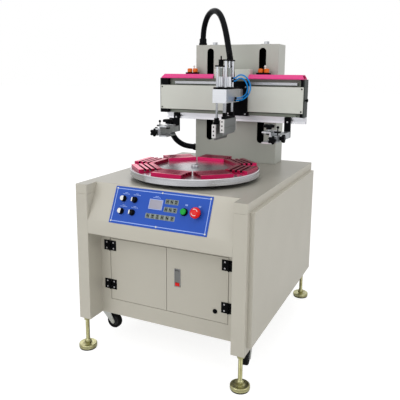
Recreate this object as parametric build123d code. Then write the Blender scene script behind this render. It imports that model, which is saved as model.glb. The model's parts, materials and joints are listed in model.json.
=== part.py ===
from build123d import *
import math
import os

# Flatbed screen printing machine with an eight station turntable and a pneumatic print head.
# Millimetres. X runs to the right, Y to the back, Z up. The origin is on the floor, under the
# middle of the table. Distances "from the front" are measured from the front faces of the posts.

# Cabinet and frame
WIDTH = 700.0
DEPTH = 908.0
TABLE_TOP = 684.0
TABLE_T = 37.0
TABLE_SHEET = 4.0
POST_BOTTOM = 135.0
POST_W = 51.0
REAR_POST_D = 50.0
TUBE_WALL = 3.0
FOOT_PLATE_T = 8.0
RAIL_H = 40.0
FLOOR_T = 3.0
SHEET = 2.0
DOOR_SETBACK = 84.0
DOOR_FRAME_D = 20.0
DOOR_JAMB_W = 44.0
DOOR_OPENING_LOW = 199.0
DOOR_OPENING_HIGH = 457.0
CONSOLE_LOW = 493.0
FASCIA_H = 50.0
SLOPE_RUN = 65.5
COVER_PROUD = 17.0
COVER_MARGIN = 24.0
COVER_LOW = 162.0
COVER_HIGH = 650.0
VENT_X = 150.0
VENT_L = 120.0
VENT_H = 6.0
VENT_LOW = 260.0
VENT_PITCH = 20.0
VENT_COUNT = 8

# Doors, hinges and latch
DOOR_GAP = 2.0
DOOR_D = 18.0
HINGE_LEAF_W = 24.0
HINGE_H = 41.0
HINGE_T = 2.0
KNUCKLE_R = 3.5
KNUCKLE_STANDOFF = 3.8
PIN_R = 1.5
PIN_CLEARANCE = 0.05
HINGE_END_GAP = 0.3
HINGE_UPPER = 426.0
HINGE_LOWER = 263.0
LATCH_X = 47.0
LATCH_LOW = 307.0
LATCH_W = 25.0
LATCH_H = 71.0
LATCH_D = 16.0
LATCH_RIM = 3.0
LATCH_PROUD = 2.0
LATCH_BUTTON_H = 13.0
PART_GAP = 0.5
PLUG_X = 203.0
PLUG_Z = 241.0
PLUG_R = 9.0

# Control plate on the console's slope
PANEL_W = 404.0
PANEL_H = 142.0
PANEL_T = 2.0
PANEL_WINDOW_MARGIN = 14.0
DIAL_X = (-158.0, -110.0)
DIAL_UP = (25.0, -23.0)
DIAL_R = 12.0
DIAL_H = 14.0
SHAFT_R = 3.0
DISPLAY_X = -18.0
DISPLAY_UP = 18.0
DISPLAY_W = 56.0
DISPLAY_H = 38.0
BEZEL_T = 3.0
KEY_W = 14.0
KEY_H = 17.0
KEY_T = 1.2
KEY_ROWS = ((44.5, 34.0, 17.5), (44.5, 5.0, 17.5), (8.0, -26.0, 20.0))
KEY_COUNTS = (3, 3, 6)
START_X = 100.5
STOP_X = 151.5
BUTTON_UP = 4.0
START_R = 11.0
STOP_R = 20.0
STOP_H = 17.0
COLLAR_WALL = 3.0
COLLAR_H = 6.0
BUTTON_TRAVEL = 3.0
STOP_TRAVEL = 4.0

# Levelling feet and casters
FOOT_IN = 20.0
FOOT_DROP = 20.5
FOOT_R = 36.0
FOOT_PAD_H = 5.0
FOOT_DRUM_H = 15.0
FOOT_EDGE = 4.0
FOOT_NUT_H = 12.0
FOOT_CONE_H = 6.0
FOOT_ROD_R = 8.0
FOOT_ROD_TOP = 180.0
THREAD_CLEARANCE = 0.05
NUT_AF = 24.0
NUT_H = 13.0
CASTER_X = 311.0
REAR_CASTER_X = 283.0
CASTER_IN = 145.0
CASTER_PLATE = 64.0
CASTER_PLATE_T = 4.0
CASTER_WHEEL_R = 31.5
CASTER_WHEEL_W = 24.0
CASTER_TRAIL = 28.0
CASTER_AXLE_Z = 71.5
CASTER_FORK_T = 3.0
CASTER_FORK_GAP = 3.0
CASTER_STEM_R = 7.0
CASTER_AXLE_R = 4.0
LEFT_CASTER_TURN = 0.0
RIGHT_CASTER_TURN = -80.0
REAR_CASTER_TURN = 90.0

# Turntable and its indexer
TURN_FROM_FRONT = 328.5
DISC_R = 263.0
DISC_T = 27.0
DISC_TOP = 725.6
DISC_EDGE = 2.0
HUB_R = 45.0
FLANGE_R = 75.0
FLANGE_T = 6.0
HUB_DEPTH = 60.0
CAP_R = 15.0
CAP_HOLE_R = 2.0
CAP_H = 9.0
BEARING_CLEARANCE = 0.05
RING_R = 85.0
RING_GAP = 2.0
STATIONS = 8
BLOCK_W = 127.0
BLOCK_D = 92.0
BLOCK_H = 14.0
BLOCK_OUTER = 250.0
GROOVES = 3
GROOVE_W = 9.0
GROOVE_DEPTH = 9.0
RIDGE_W = 12.0
GEARBOX_W = 200.0
GEARBOX_H = 150.0
INPUT_SHAFT_R = 10.0
INPUT_SHAFT_IN = 35.0
COUPLING_R = 28.0
COUPLING_L = 50.0
COUPLING_GAP = 6.0
MOTOR_R = 60.0
MOTOR_L = 180.0
MOTOR_PLATE_T = 10.0
BOX_X = -220.0
BOX_FROM_REAR = 274.0
BOX_W = 240.0
BOX_D = 150.0
BOX_H = 320.0
VALVE_X = 80.0
VALVE_FROM_REAR = 254.0
VALVE_COUNT = 5
VALVE_PITCH = 32.0
VALVE_D = 90.0

# Column and lift
COLUMN_W = 414.0
COLUMN_FROM_FRONT = 770.0
COLUMN_D = 109.0
COLUMN_TOP = 1237.5
COLUMN_WALL = 3.0
SLOT_X = 131.0
SLOT_W = 34.0
SLOT_LOW = 780.0
SLOT_HIGH = 1221.0
GUIDE_FROM_FRONT = 825.0
GUIDE_R = 12.5
GUIDE_BASE_T = 12.0
GUIDE_BASE_OVER = 50.0
GUIDE_BASE_D = 80.0
GUIDE_CAP_R = 28.0
GUIDE_CAP_T = 3.0
GUIDE_SCREW_AF = 22.0
GUIDE_SCREW_H = 12.0
CYLINDER_R = 31.5
CYLINDER_TOP = 880.0
PISTON_R = 10.0
PISTON_LOW = 800.0
ARM_W = 30.0
ARM_LOW = 940.0
ARM_HIGH = 1080.0
BUSH_W = 56.0
BUSH_EXTRA = 10.0
CROSS_LOW = 990.0
CROSS_H = 40.0
CROSS_D = 26.0

# Beam
BEAM_HALF = 350.0
BEAM_FRONT = 700.0
BEAM_D = 40.0
BEAM_LOW = 915.0
BEAM_HIGH = 1080.0
BEAM_WALL = 4.0
END_PLATE_T = 6.0
FACE_FROM_FRONT = 675.0
FACE_LOW = 933.0
FACE_HIGH = 1047.0
PINK_RISE = 20.0
PINK_SLOPE = 18.0
PINK_LIP = 4.0
PINK_INNER = (-78.0, 96.0)
PINK_END_T = 4.0
COVER_SHEET = 3.0
MITRE_RUN = 10.0
MITRE_PROUD = 3.0
CREAM_TOP = 1123.0
RAIL_SIZE = 12.0
RAIL_INSET = (69.0, 30.0)
RAIL_Z = (1060.0, 923.0)
STOP_L = (37.0, 11.0)
STOP_GAP = 1.0
SCREEN_RAIL_H = 30.0
SCREEN_RAIL_D = 30.0
SCREEN_RAIL_INSET = 15.0
SCREEN_SLOT = 8.0
SCREEN_SLOT_DEPTH = 9.0
SCREEN_LIP = 3.0
T_NUT_CLEARANCE = 0.3
THUMB_PAIRS = (-209.5, 149.5)
THUMB_PITCH = 28.5
THUMB_R = 12.0
THUMB_H = 19.0
THUMB_POST = 14.0
END_KNOB_Z = 990.0

# Print head on its carriage
HEAD_X = 50.0
CARRIAGE_W = 100.0
CARRIAGE_T = 10.0
CARRIAGE_FROM_FRONT = 660.0
CARRIAGE_LOW = 915.0
CARRIAGE_HIGH = 1052.0
CARRIAGE_LAP = 30.0
COVER_CLEARANCE = 1.0
RUNNER_H = 19.0
RUNNER_CLEARANCE = 0.3
HEAD_W = 64.0
HEAD_FRONT = 455.0
HEAD_BACK = 607.0
HEAD_LOW = 981.0
HEAD_HIGH = 1038.0
HEAD_PLATE_T = 8.0
HEAD_PLATE_BACK = 616.0
STATION_Y = 516.0
UNIT_SPREAD = 19.0
UNIT_LIFT = 24.0
AIR_R = 11.5
AIR_TOP = 1090.0
AIR_NECK_R = 8.5
AIR_NECK_TOP = 1126.0
AIR_ROD_R = 4.0
AIR_ROD_IN = 34.0
AIR_FLOOR = 4.0
GUIDE_ROD_R = 5.0
GUIDE_ROD_SPREAD = 40.0
ROD_CLEARANCE = 0.05
ROD_LOW = 890.0
TOP_BAR_Z = 1131.0
TOP_BAR_H = 6.0
LOW_BAR_H = 10.0
ROD_FOOT_L = 20.0
ROD_FOOT_H = 16.0
BAR_W = 15.0
STROKE_NUT_R = 11.0
STROKE_NUT_H = 25.0
HOLDER_L = 132.0
HOLDER_T = 12.0
HOLDER_LOW = 833.0
HOLDER_HIGH = 890.0
BLADE_T = 6.0
BLADE_DROP = 10.0
CLIP_W = 14.0
CLIP_L = 24.0
CLIP_LOW = 855.0
END_CLIP_W = 17.5
END_CLIP_T = 6.0

# Screen frame clamps
CLAMP_X = 279.0
CLAMP_W = 28.0
CLAMP_LOW = 822.0
CLAMP_BACK_T = 12.0
CLAMP_ARM_H = 28.0
CLAMP_ARM_FRONT = 490.0
JAW_INNER = 226.0
JAW_FRONT = 500.0
JAW_BACK = 590.0
JAW_TOP = 866.0
JAW_T = 6.0
PRESS_FROM_FRONT = 545.0
PRESS_R = 5.0
PRESS_PAD_R = 11.0
PRESS_PAD_H = 5.0
PRESS_LOW = 850.0
STAR_R = 18.0
PRESS_STAR_R = 24.0
PRESS_STAR_LIFT = 7.0
STAR_H = 14.0
STAR_LOBES = 5
STAR_LOBE = 0.34
LEVER_X = 283.0
LEVER_FROM_FRONT = 541.0
LEVER_STEM_R = 2.5
LEVER_DISC_R = 15.5
LEVER_DISC_H = 6.0
LEVER_DISC_LIFT = 10.0
LEVER_H = 30.0
LEVER_BALL_R = 6.0

# Hoses: outside radius and the hand chosen points of each route, as x, from the front, z
HOSE_R = 13.5
HOSE_GLAND_R = 18.0
HOSE_GLAND_H = 33.0
TOP_HOSE_ROUTE = (
    (-185.0, 800.0, COLUMN_TOP),
    (-185.0, 800.0, 1284.0),
    (-174.5, 791.0, 1331.0),
    (-150.5, 770.0, 1369.0),
    (-115.0, 739.0, 1389.0),
    (-76.0, 705.0, 1387.0),
    (-42.0, 675.0, 1364.0),
    (-16.5, 652.5, 1325.0),
    (3.0, 636.0, 1278.0),
    (18.5, 622.0, 1228.0),
    (32.0, 610.5, 1181.0),
    (43.5, 601.0, 1136.0),
    (50.0, 595.0, 1091.0),
    (50.0, 595.0, HEAD_HIGH + HEAD_PLATE_T),
)
SIDE_HOSE_R = 14.0
SIDE_HOSE_ROUTE = (
    (-COLUMN_W / 2, 815.0, 732.0),
    (-250.0, 815.0, 732.0),
    (-293.0, 808.0, 738.0),
    (-328.0, 794.0, 762.0),
    (-346.0, 778.0, 800.0),
    (-343.0, 765.0, 840.0),
    (-335.0, 759.0, 874.0),
    (-335.0, 759.0, 906.0),
)
ELBOW = 32.0
TUBE_R = 3.0
TUBE_ROUTE = (
    (88.0, 516.0, 1084.0),
    (97.0, 516.0, 1084.0),
    (112.0, 518.0, 1099.0),
    (135.0, 523.0, 1097.0),
    (156.0, 528.0, 1073.0),
    (161.0, 534.0, 1041.0),
    (148.0, 541.0, 1012.0),
    (121.0, 548.0, 994.0),
    (100.0, 553.0, 989.0),
    (88.0, 553.0, 989.0),
)
FITTING_R = 5.0
SCREW_R = 3.5
SCREW_H = 2.0
SCREW_IN = 8.0

# Worked out from the sizes above
FRONT = -DEPTH / 2
REAR = DEPTH / 2
HALF = WIDTH / 2
POST_IN = HALF - POST_W
TABLE_UNDER = TABLE_TOP - TABLE_T
SKIN_UNDER = TABLE_TOP - TABLE_SHEET
DOOR_Y = FRONT + DOOR_SETBACK
FLANGE_UNDER = DISC_TOP - DISC_T - FLANGE_T
TURN_Y = FRONT + TURN_FROM_FRONT
GUIDE_Y = FRONT + GUIDE_FROM_FRONT
COLUMN_Y = FRONT + COLUMN_FROM_FRONT
BEAM_Y = FRONT + BEAM_FRONT
BEAM_BACK = BEAM_Y + BEAM_D
FACE_Y = FRONT + FACE_FROM_FRONT
PLATE_Y = FRONT + CARRIAGE_FROM_FRONT
HEAD_Y = FRONT + STATION_Y
UNIT_X = (HEAD_X - UNIT_SPREAD, HEAD_X + UNIT_SPREAD)
PINK_LOW = BEAM_HIGH
DOOR_OPENING_W = 2 * (POST_IN - DOOR_JAMB_W)
DOOR_W = DOOR_OPENING_W / 2 - DOOR_GAP
HINGE_X = DOOR_OPENING_W / 2
KNUCKLE_Y = DOOR_Y - KNUCKLE_STANDOFF
SCREEN_RAIL_Y = BEAM_BACK - SCREEN_RAIL_D
SCREEN_RAIL_LOW = BEAM_LOW - SCREEN_RAIL_H
SLOPE_BASE = CONSOLE_LOW + FASCIA_H
SLOPE_ANGLE = math.degrees(math.atan2(TABLE_TOP - SLOPE_BASE, SLOPE_RUN))
SLOPE = Plane(
    origin=(0, FRONT + SLOPE_RUN / 2, (SLOPE_BASE + TABLE_TOP) / 2),
    x_dir=(1, 0, 0),
    z_dir=(0, -math.sin(math.radians(SLOPE_ANGLE)), math.cos(math.radians(SLOPE_ANGLE))),
)


def block(x0, x1, y0, y1, z0, z1):
    """A box given by its limits on the three axes."""
    return Pos(x0, y0, z0) * Box(x1 - x0, y1 - y0, z1 - z0, align=(Align.MIN, Align.MIN, Align.MIN))


def rod(start, axis, length, radius):
    """A round bar from a start point along one axis direction."""
    return Plane(origin=start, z_dir=axis) * extrude(Circle(radius), amount=length)


def hexagon(x, y, z0, height, across_flats):
    """A hexagonal nut body."""
    return Pos(x, y, z0) * extrude(RegularPolygon(across_flats / 2, 6, major_radius=False), amount=height)


def screw(start, axis):
    """A low button head that sits on a face."""
    return rod(start, axis, SCREW_H, SCREW_R)


def tube_path(route, radius):
    """A round hose along straight runs with the largest arcs that its runs allow."""
    points = [Vector(x, FRONT + y, z) for x, y, z in route]
    radii = []
    for before, corner, after in zip(points, points[1:], points[2:]):
        turn = (corner - before).get_angle(after - corner)
        run = min((corner - before).length, (after - corner).length)
        radii.append(0.45 * run / math.tan(math.radians(turn / 2)))
    path = FilletPolyline(*points, radius=radii)
    hose = sweep(Plane(origin=path @ 0, z_dir=path % 0) * Circle(radius), path=path)
    print("hose radii", [round(r) for r in radii], "length", round(path.length))
    print("hose volume ratio", round(hose.volume / (math.pi * radius**2 * path.length), 4))
    return hose


def star_knob(start, axis, radius):
    """A lobed hand knob with a short neck, standing on its face at start."""
    lobe = radius * STAR_LOBE
    outline = Circle(radius - lobe)
    for place in PolarLocations(radius - lobe, STAR_LOBES):
        outline += place * Circle(lobe)
    body = Pos(0, 0, STAR_H / 2) * extrude(outline, amount=STAR_H)
    neck = extrude(Circle(radius / 2), amount=STAR_H / 2)
    return Plane(origin=start, z_dir=axis) * (body + neck)


def save(name, *solids):
    """Write the pieces of one node to its own file."""
    flat = [solid for shape in solids for solid in shape.solids()]
    shape = flat[0] if len(flat) == 1 else Compound(children=flat)
    shape.label = name
    export_step(shape, f"parts/{name}.step")


def tube_post(x0, x1, y0, y1):
    """A square post with a wall, a foot plate and a closed top."""
    outer = block(x0, x1, y0, y1, POST_BOTTOM, TABLE_UNDER)
    inner = block(
        x0 + TUBE_WALL,
        x1 - TUBE_WALL,
        y0 + TUBE_WALL,
        y1 - TUBE_WALL,
        POST_BOTTOM + FOOT_PLATE_T,
        TABLE_UNDER - TUBE_WALL,
    )
    return outer - inner


def foot_places():
    """Centres of the four levelling feet: front left, front right, rear left, rear right."""
    x = HALF - FOOT_IN
    y = REAR - FOOT_DROP
    return {"front_left": (-x, -y), "front_right": (x, -y), "rear_left": (-x, y), "rear_right": (x, y)}


def rail(x0, x1, y0, y1, low, along):
    """A horizontal tube between two posts, open at its ends. Along is its axis, 0 for X and 1 for Y."""
    outer = block(x0, x1, y0, y1, low, low + RAIL_H)
    inset = (0 if along == 0 else TUBE_WALL, 0 if along == 1 else TUBE_WALL)
    inner = block(
        x0 + inset[0],
        x1 - inset[0],
        y0 + inset[1],
        y1 - inset[1],
        low + TUBE_WALL,
        low + RAIL_H - TUBE_WALL,
    )
    return outer - inner


def door_surround():
    """Folded front frame round the doors, with returns towards the back."""
    y0, y1 = DOOR_Y, DOOR_Y + DOOR_FRAME_D
    half = DOOR_OPENING_W / 2
    low, high = DOOR_OPENING_LOW, DOOR_OPENING_HIGH
    frame = block(-HALF, HALF, y0, y1, POST_BOTTOM, CONSOLE_LOW)
    pocket = block(-HALF + SHEET, HALF - SHEET, y0 + SHEET, y1, POST_BOTTOM + FLOOR_T, CONSOLE_LOW - SHEET)
    pocket -= block(-half - SHEET, half + SHEET, y0, y1, low - SHEET, high + SHEET)
    return frame - pocket - block(-half, half, y0, y1, low, high)


def cabinet_frame():
    """Posts, rails, floor pan and front door frame, welded together."""
    frame = block(-POST_IN, POST_IN, DOOR_Y, REAR - REAR_POST_D, POST_BOTTOM, POST_BOTTOM + FLOOR_T)
    for side in (-1, 1):
        x0, x1 = sorted((side * POST_IN, side * HALF))
        frame += tube_post(x0, x1, FRONT, DOOR_Y)
        frame += tube_post(x0, x1, REAR - REAR_POST_D, REAR)
        for low in (POST_BOTTOM, TABLE_UNDER - RAIL_H):
            frame += rail(x0, x1, DOOR_Y, REAR - REAR_POST_D, low, 1)
    for low in (POST_BOTTOM, TABLE_UNDER - RAIL_H):
        frame += rail(-POST_IN, POST_IN, REAR - REAR_POST_D, REAR - TUBE_WALL, low, 0)
    frame += door_surround()
    for x, y in foot_places().values():
        hole = FOOT_ROD_R + THREAD_CLEARANCE
        frame -= rod((x, y, POST_BOTTOM), (0, 0, 1), FOOT_PLATE_T, hole)
    return frame


def console_profile():
    """Side outline of the console: fascia, slope and a step under the table's front edge."""
    return Polyline(
        (DOOR_Y, CONSOLE_LOW),
        (FRONT, CONSOLE_LOW),
        (FRONT, SLOPE_BASE),
        (FRONT + SLOPE_RUN, TABLE_TOP),
        (FRONT + SLOPE_RUN, TABLE_UNDER),
        (DOOR_Y, TABLE_UNDER),
        close=True,
    )


def console_hood():
    """Bent sheet hood between the posts, open to the cabinet, with a window for the plate."""
    side = Plane(origin=(-POST_IN, 0, 0), x_dir=(0, 1, 0), z_dir=(1, 0, 0))
    outline = make_face(console_profile())
    skin = side * extrude(outline, amount=2 * POST_IN)
    skin -= side * extrude(offset(outline, amount=-SHEET), amount=2 * POST_IN)
    skin -= block(
        -POST_IN, POST_IN, DOOR_Y - 2 * SHEET, DOOR_Y, CONSOLE_LOW + SHEET, TABLE_UNDER - SHEET
    )
    margin = 2 * PANEL_WINDOW_MARGIN
    window = Rectangle(PANEL_W - margin, PANEL_H - margin)
    return skin - SLOPE * Pos(0, 0, -2 * SHEET) * extrude(window, amount=4 * SHEET)


def table_top():
    """Folded table pan, cut back over the console, with the indexer's opening."""
    table = block(-HALF, HALF, FRONT, REAR, TABLE_UNDER, TABLE_TOP)
    table -= block(
        -HALF + TUBE_WALL,
        HALF - TUBE_WALL,
        FRONT + TUBE_WALL,
        REAR - TUBE_WALL,
        TABLE_UNDER,
        SKIN_UNDER,
    )
    wall = POST_IN + TUBE_WALL
    table += block(-wall, wall, FRONT, FRONT + SLOPE_RUN + TUBE_WALL, TABLE_UNDER, TABLE_TOP)
    table -= block(-POST_IN, POST_IN, FRONT, FRONT + SLOPE_RUN, TABLE_UNDER, TABLE_TOP)
    return table - rod((0, TURN_Y, TABLE_UNDER), (0, 0, 1), TABLE_T, RING_R + RING_GAP / 2)


def side_cover(side):
    """Shallow pan screwed to one side of the frame, open towards it."""
    x_in, x_out = side * HALF, side * (HALF + COVER_PROUD)
    x0, x1 = sorted((x_in, x_out))
    y0, y1 = FRONT + COVER_MARGIN, REAR - COVER_MARGIN
    cover = block(x0, x1, y0, y1, COVER_LOW, COVER_HIGH)
    x0, x1 = sorted((x_in, x_out - side * SHEET))
    cover -= block(x0, x1, y0 + SHEET, y1 - SHEET, COVER_LOW + SHEET, COVER_HIGH - SHEET)
    return cover


def rear_panel():
    """Screwed sheet between the rear posts, with two columns of vent slots."""
    panel = block(
        -POST_IN, POST_IN, REAR - TUBE_WALL, REAR, POST_BOTTOM, TABLE_UNDER
    )
    middle = VENT_LOW + (VENT_COUNT - 1) * VENT_PITCH / 2
    back = Plane(origin=(0, REAR, middle), x_dir=(1, 0, 0), z_dir=(0, 1, 0))
    for place in GridLocations(2 * VENT_X, VENT_PITCH, 2, VENT_COUNT):
        panel -= back * place * extrude(SlotOverall(VENT_L, VENT_H), amount=TUBE_WALL, both=True)
    return panel


def control_plate():
    """Screwed plate on the slope, with holes for the dials and the push buttons."""
    plate = Rectangle(PANEL_W, PANEL_H)
    for x in DIAL_X:
        for up in DIAL_UP:
            plate -= Pos(x, up) * Circle(SHAFT_R + PIN_CLEARANCE)
    for x in (START_X, STOP_X):
        plate -= Pos(x, BUTTON_UP) * Circle(START_R - COLLAR_WALL)
    return SLOPE * extrude(plate, amount=PANEL_T)


def panel_fittings():
    """Plate screws, display bezel, key pads and the collars of the two buttons."""
    face = SLOPE * Pos(0, 0, PANEL_T)
    pieces = []
    for x in (-PANEL_W / 2 + SCREW_IN, 0, PANEL_W / 2 - SCREW_IN):
        for up in (-PANEL_H / 2 + SCREW_IN, PANEL_H / 2 - SCREW_IN):
            pieces.append(face * Pos(x, up) * extrude(Circle(SCREW_R), amount=SCREW_H))
    bezel = Rectangle(DISPLAY_W, DISPLAY_H)
    pieces.append(face * Pos(DISPLAY_X, DISPLAY_UP) * extrude(bezel, amount=BEZEL_T))
    for (x, up, pitch), count in zip(KEY_ROWS, KEY_COUNTS):
        for place in GridLocations(pitch, KEY_H, count, 1):
            pad = RectangleRounded(KEY_W, KEY_H, KEY_T)
            pieces.append(face * Pos(x, up) * place * extrude(pad, amount=KEY_T))
    for x in (START_X, STOP_X):
        ring = Circle(START_R + COLLAR_WALL) - Circle(START_R - COLLAR_WALL)
        pieces.append(face * Pos(x, BUTTON_UP) * extrude(ring, amount=COLLAR_H))
    return pieces


def dial(x, up):
    """Fluted control knob on its shaft."""
    skirt = extrude(Circle(DIAL_R), amount=DIAL_H / 3)
    grip = Circle(DIAL_R - 2)
    for place in PolarLocations(DIAL_R - 2, 12):
        grip -= place * Circle(1)
    body = skirt + Pos(0, 0, DIAL_H / 3) * extrude(grip, amount=2 * DIAL_H / 3)
    lift = PANEL_T + PART_GAP
    shaft = Pos(0, 0, -3 * SHEET) * extrude(Circle(SHAFT_R), amount=3 * SHEET + lift)
    return SLOPE * Pos(x, up) * (Pos(0, 0, lift) * body + shaft)


def start_button():
    """Round push button cap that slides in its collar's bore."""
    stem_r = START_R - COLLAR_WALL - PIN_CLEARANCE
    cap = extrude(Circle(START_R), amount=5)
    cap = fillet(cap.edges().group_by(Axis.Z)[-1], 1.5)
    top = PANEL_T + COLLAR_H + BUTTON_TRAVEL + PART_GAP
    stem = extrude(Circle(stem_r), amount=top)
    return SLOPE * Pos(START_X, BUTTON_UP) * (Pos(0, 0, top) * cap + stem)


def stop_button():
    """Mushroom head of the emergency stop, on its stem."""
    stem_r = START_R - COLLAR_WALL - PIN_CLEARANCE
    top = PANEL_T + COLLAR_H + STOP_TRAVEL + PART_GAP
    head = extrude(Circle(STOP_R), amount=STOP_H)
    head = fillet(head.edges().group_by(Axis.Z)[-1], STOP_H / 2)
    head = chamfer(head.edges().group_by(Axis.Z)[0], STOP_H / 4)
    stem = extrude(Circle(stem_r), amount=top)
    return SLOPE * Pos(STOP_X, BUTTON_UP) * (Pos(0, 0, top) * head + stem)


def knuckle(side, z0, z1, bore):
    """One barrel of a hinge, with a bore for its pin where it turns."""
    barrel = rod((side * HINGE_X, KNUCKLE_Y, z0), (0, 0, 1), z1 - z0, KNUCKLE_R)
    if bore:
        barrel -= rod((side * HINGE_X, KNUCKLE_Y, z0), (0, 0, 1), z1 - z0, PIN_R + PIN_CLEARANCE)
    return barrel


def hinge_leaf(side, centre, moving):
    """Half a butt hinge. The moving half has the middle barrel, the fixed half the other two."""
    low, high = centre - HINGE_H / 2, centre + HINGE_H / 2
    third = HINGE_H / 3
    inward = -side if moving else side
    x0, x1 = sorted((side * HINGE_X + inward * KNUCKLE_R, side * HINGE_X + inward * (KNUCKLE_R + HINGE_LEAF_W)))
    leaf = block(x0, x1, DOOR_Y - HINGE_T, DOOR_Y, low, high)
    if moving:
        spans = [(low + third + HINGE_END_GAP, high - third - HINGE_END_GAP)]
    else:
        spans = [(low, low + third), (high - third, high)]
    for z0, z1 in spans:
        x0, x1 = sorted((side * HINGE_X + inward * PIN_R * 1.5, side * HINGE_X + inward * 2 * KNUCKLE_R))
        leaf += knuckle(side, z0, z1, moving)
        leaf += block(x0, x1, DOOR_Y - HINGE_T, DOOR_Y - PIN_CLEARANCE, z0, z1)
    if moving:
        return leaf
    return leaf + rod((side * HINGE_X, KNUCKLE_Y, low), (0, 0, 1), HINGE_H, PIN_R)


def hinge_fixed_leaves():
    """The frame halves of the four hinges, with their pins."""
    return [hinge_leaf(side, z, False) for side in (-1, 1) for z in (HINGE_LOWER, HINGE_UPPER)]


def door(side):
    """Folded door pan with the moving hinge leaves on its face."""
    x0, x1 = sorted((side * DOOR_GAP / 2, side * DOOR_W))
    low, high = DOOR_OPENING_LOW + DOOR_GAP, DOOR_OPENING_HIGH - DOOR_GAP
    pan = block(x0, x1, DOOR_Y, DOOR_Y + DOOR_D, low, high)
    pan -= block(x0 + SHEET, x1 - SHEET, DOOR_Y + SHEET, DOOR_Y + DOOR_D, low + SHEET, high - SHEET)
    pieces = [hinge_leaf(side, z, True) for z in (HINGE_LOWER, HINGE_UPPER)]
    if side > 0:
        cut = block(
            LATCH_X - LATCH_W / 2,
            LATCH_X + LATCH_W / 2,
            DOOR_Y,
            DOOR_Y + SHEET,
            LATCH_LOW,
            LATCH_LOW + LATCH_H,
        )
        pan -= cut
        pan -= rod((PLUG_X, DOOR_Y, PLUG_Z), (0, 1, 0), SHEET, PLUG_R - 2)
        plug = rod((PLUG_X, DOOR_Y - SHEET, PLUG_Z), (0, 1, 0), SHEET, PLUG_R)
        plug += rod((PLUG_X, DOOR_Y, PLUG_Z), (0, 1, 0), DOOR_D / 2, PLUG_R - 2)
        pieces.append(plug)
        pieces.append(latch_housing())
    return [pan] + pieces


def latch_housing():
    """Recessed cup of the flush pull, with bores for the handle's pin."""
    y0 = DOOR_Y - LATCH_PROUD
    half = LATCH_W / 2
    cup = block(LATCH_X - half, LATCH_X + half, y0, y0 + LATCH_D, LATCH_LOW, LATCH_LOW + LATCH_H)
    well = block(
        LATCH_X - half + LATCH_RIM,
        LATCH_X + half - LATCH_RIM,
        y0,
        y0 + LATCH_D - SHEET,
        LATCH_LOW + LATCH_RIM,
        LATCH_LOW + LATCH_H - LATCH_RIM,
    )
    pin = rod((LATCH_X - half, *handle_pin()), (1, 0, 0), LATCH_W, PIN_R + PIN_CLEARANCE)
    return cup - well - pin


def handle_pin():
    """Y and Z of the pull handle's pin, near the cup's top."""
    return DOOR_Y + LATCH_D / 2 - LATCH_PROUD, LATCH_LOW + LATCH_H - LATCH_RIM - 5


def latch_handle():
    """Pull handle that swings out of the cup on its pin."""
    y_pin, z_pin = handle_pin()
    half = LATCH_W / 2 - LATCH_RIM - PART_GAP
    low = LATCH_LOW + LATCH_RIM + LATCH_BUTTON_H + 3 * PART_GAP
    y0 = DOOR_Y - LATCH_PROUD
    body = block(LATCH_X - half, LATCH_X + half, y0, y_pin, low, z_pin)
    body += rod((LATCH_X - half, y_pin, z_pin), (1, 0, 0), 2 * half, 4)
    grip = block(LATCH_X - half, LATCH_X + half, y0 + 3, y_pin, low, low + 16)
    pin = rod((LATCH_X - LATCH_W / 2, y_pin, z_pin), (1, 0, 0), LATCH_W, PIN_R)
    return body - grip + pin


def latch_button():
    """Release button under the handle, guided by the cup's walls."""
    y0 = DOOR_Y - LATCH_PROUD
    half = LATCH_W / 2 - LATCH_RIM - PART_GAP
    low = LATCH_LOW + LATCH_RIM + PART_GAP
    depth = LATCH_D - SHEET - BUTTON_TRAVEL - PART_GAP
    return block(LATCH_X - half, LATCH_X + half, y0 - 1, y0 + depth, low, low + LATCH_BUTTON_H - PART_GAP)


def levelling_foot(x, y):
    """Threaded rod with its fixed nut on a pressed drum that stands on a rubber pad."""
    pad = rod((x, y, 0), (0, 0, 1), FOOT_PAD_H, FOOT_R - FOOT_EDGE / 2)
    drum = rod((x, y, FOOT_PAD_H), (0, 0, 1), FOOT_DRUM_H, FOOT_R)
    drum = fillet(drum.edges().group_by(Axis.Z)[-1], FOOT_EDGE)
    nut_low = FOOT_PAD_H + FOOT_DRUM_H
    nut_high = nut_low + FOOT_NUT_H
    nut = hexagon(x, y, nut_low, FOOT_NUT_H, NUT_AF)
    cone = Pos(x, y, nut_high + FOOT_CONE_H / 2) * Cone(NUT_AF / 2 - 1, FOOT_ROD_R, FOOT_CONE_H)
    stem = rod((x, y, nut_high), (0, 0, 1), FOOT_ROD_TOP - nut_high, FOOT_ROD_R)
    return pad, drum + nut + cone + stem


def caster_places():
    """Swivel centres of the four casters."""
    y = REAR - CASTER_IN
    return {
        "front_left": (-CASTER_X, -y, LEFT_CASTER_TURN),
        "front_right": (CASTER_X, -y, RIGHT_CASTER_TURN),
        "rear_left": (-REAR_CASTER_X, y, REAR_CASTER_TURN),
        "rear_right": (REAR_CASTER_X, y, REAR_CASTER_TURN),
    }


def caster_plate(x, y):
    """Screwed top plate with the swivel's stem."""
    plate = block(
        x - CASTER_PLATE / 2,
        x + CASTER_PLATE / 2,
        y - CASTER_PLATE / 2,
        y + CASTER_PLATE / 2,
        POST_BOTTOM - CASTER_PLATE_T,
        POST_BOTTOM,
    )
    return plate + rod((x, y, POST_BOTTOM - CASTER_PLATE_T - 14), (0, 0, 1), 14, CASTER_STEM_R)


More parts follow.
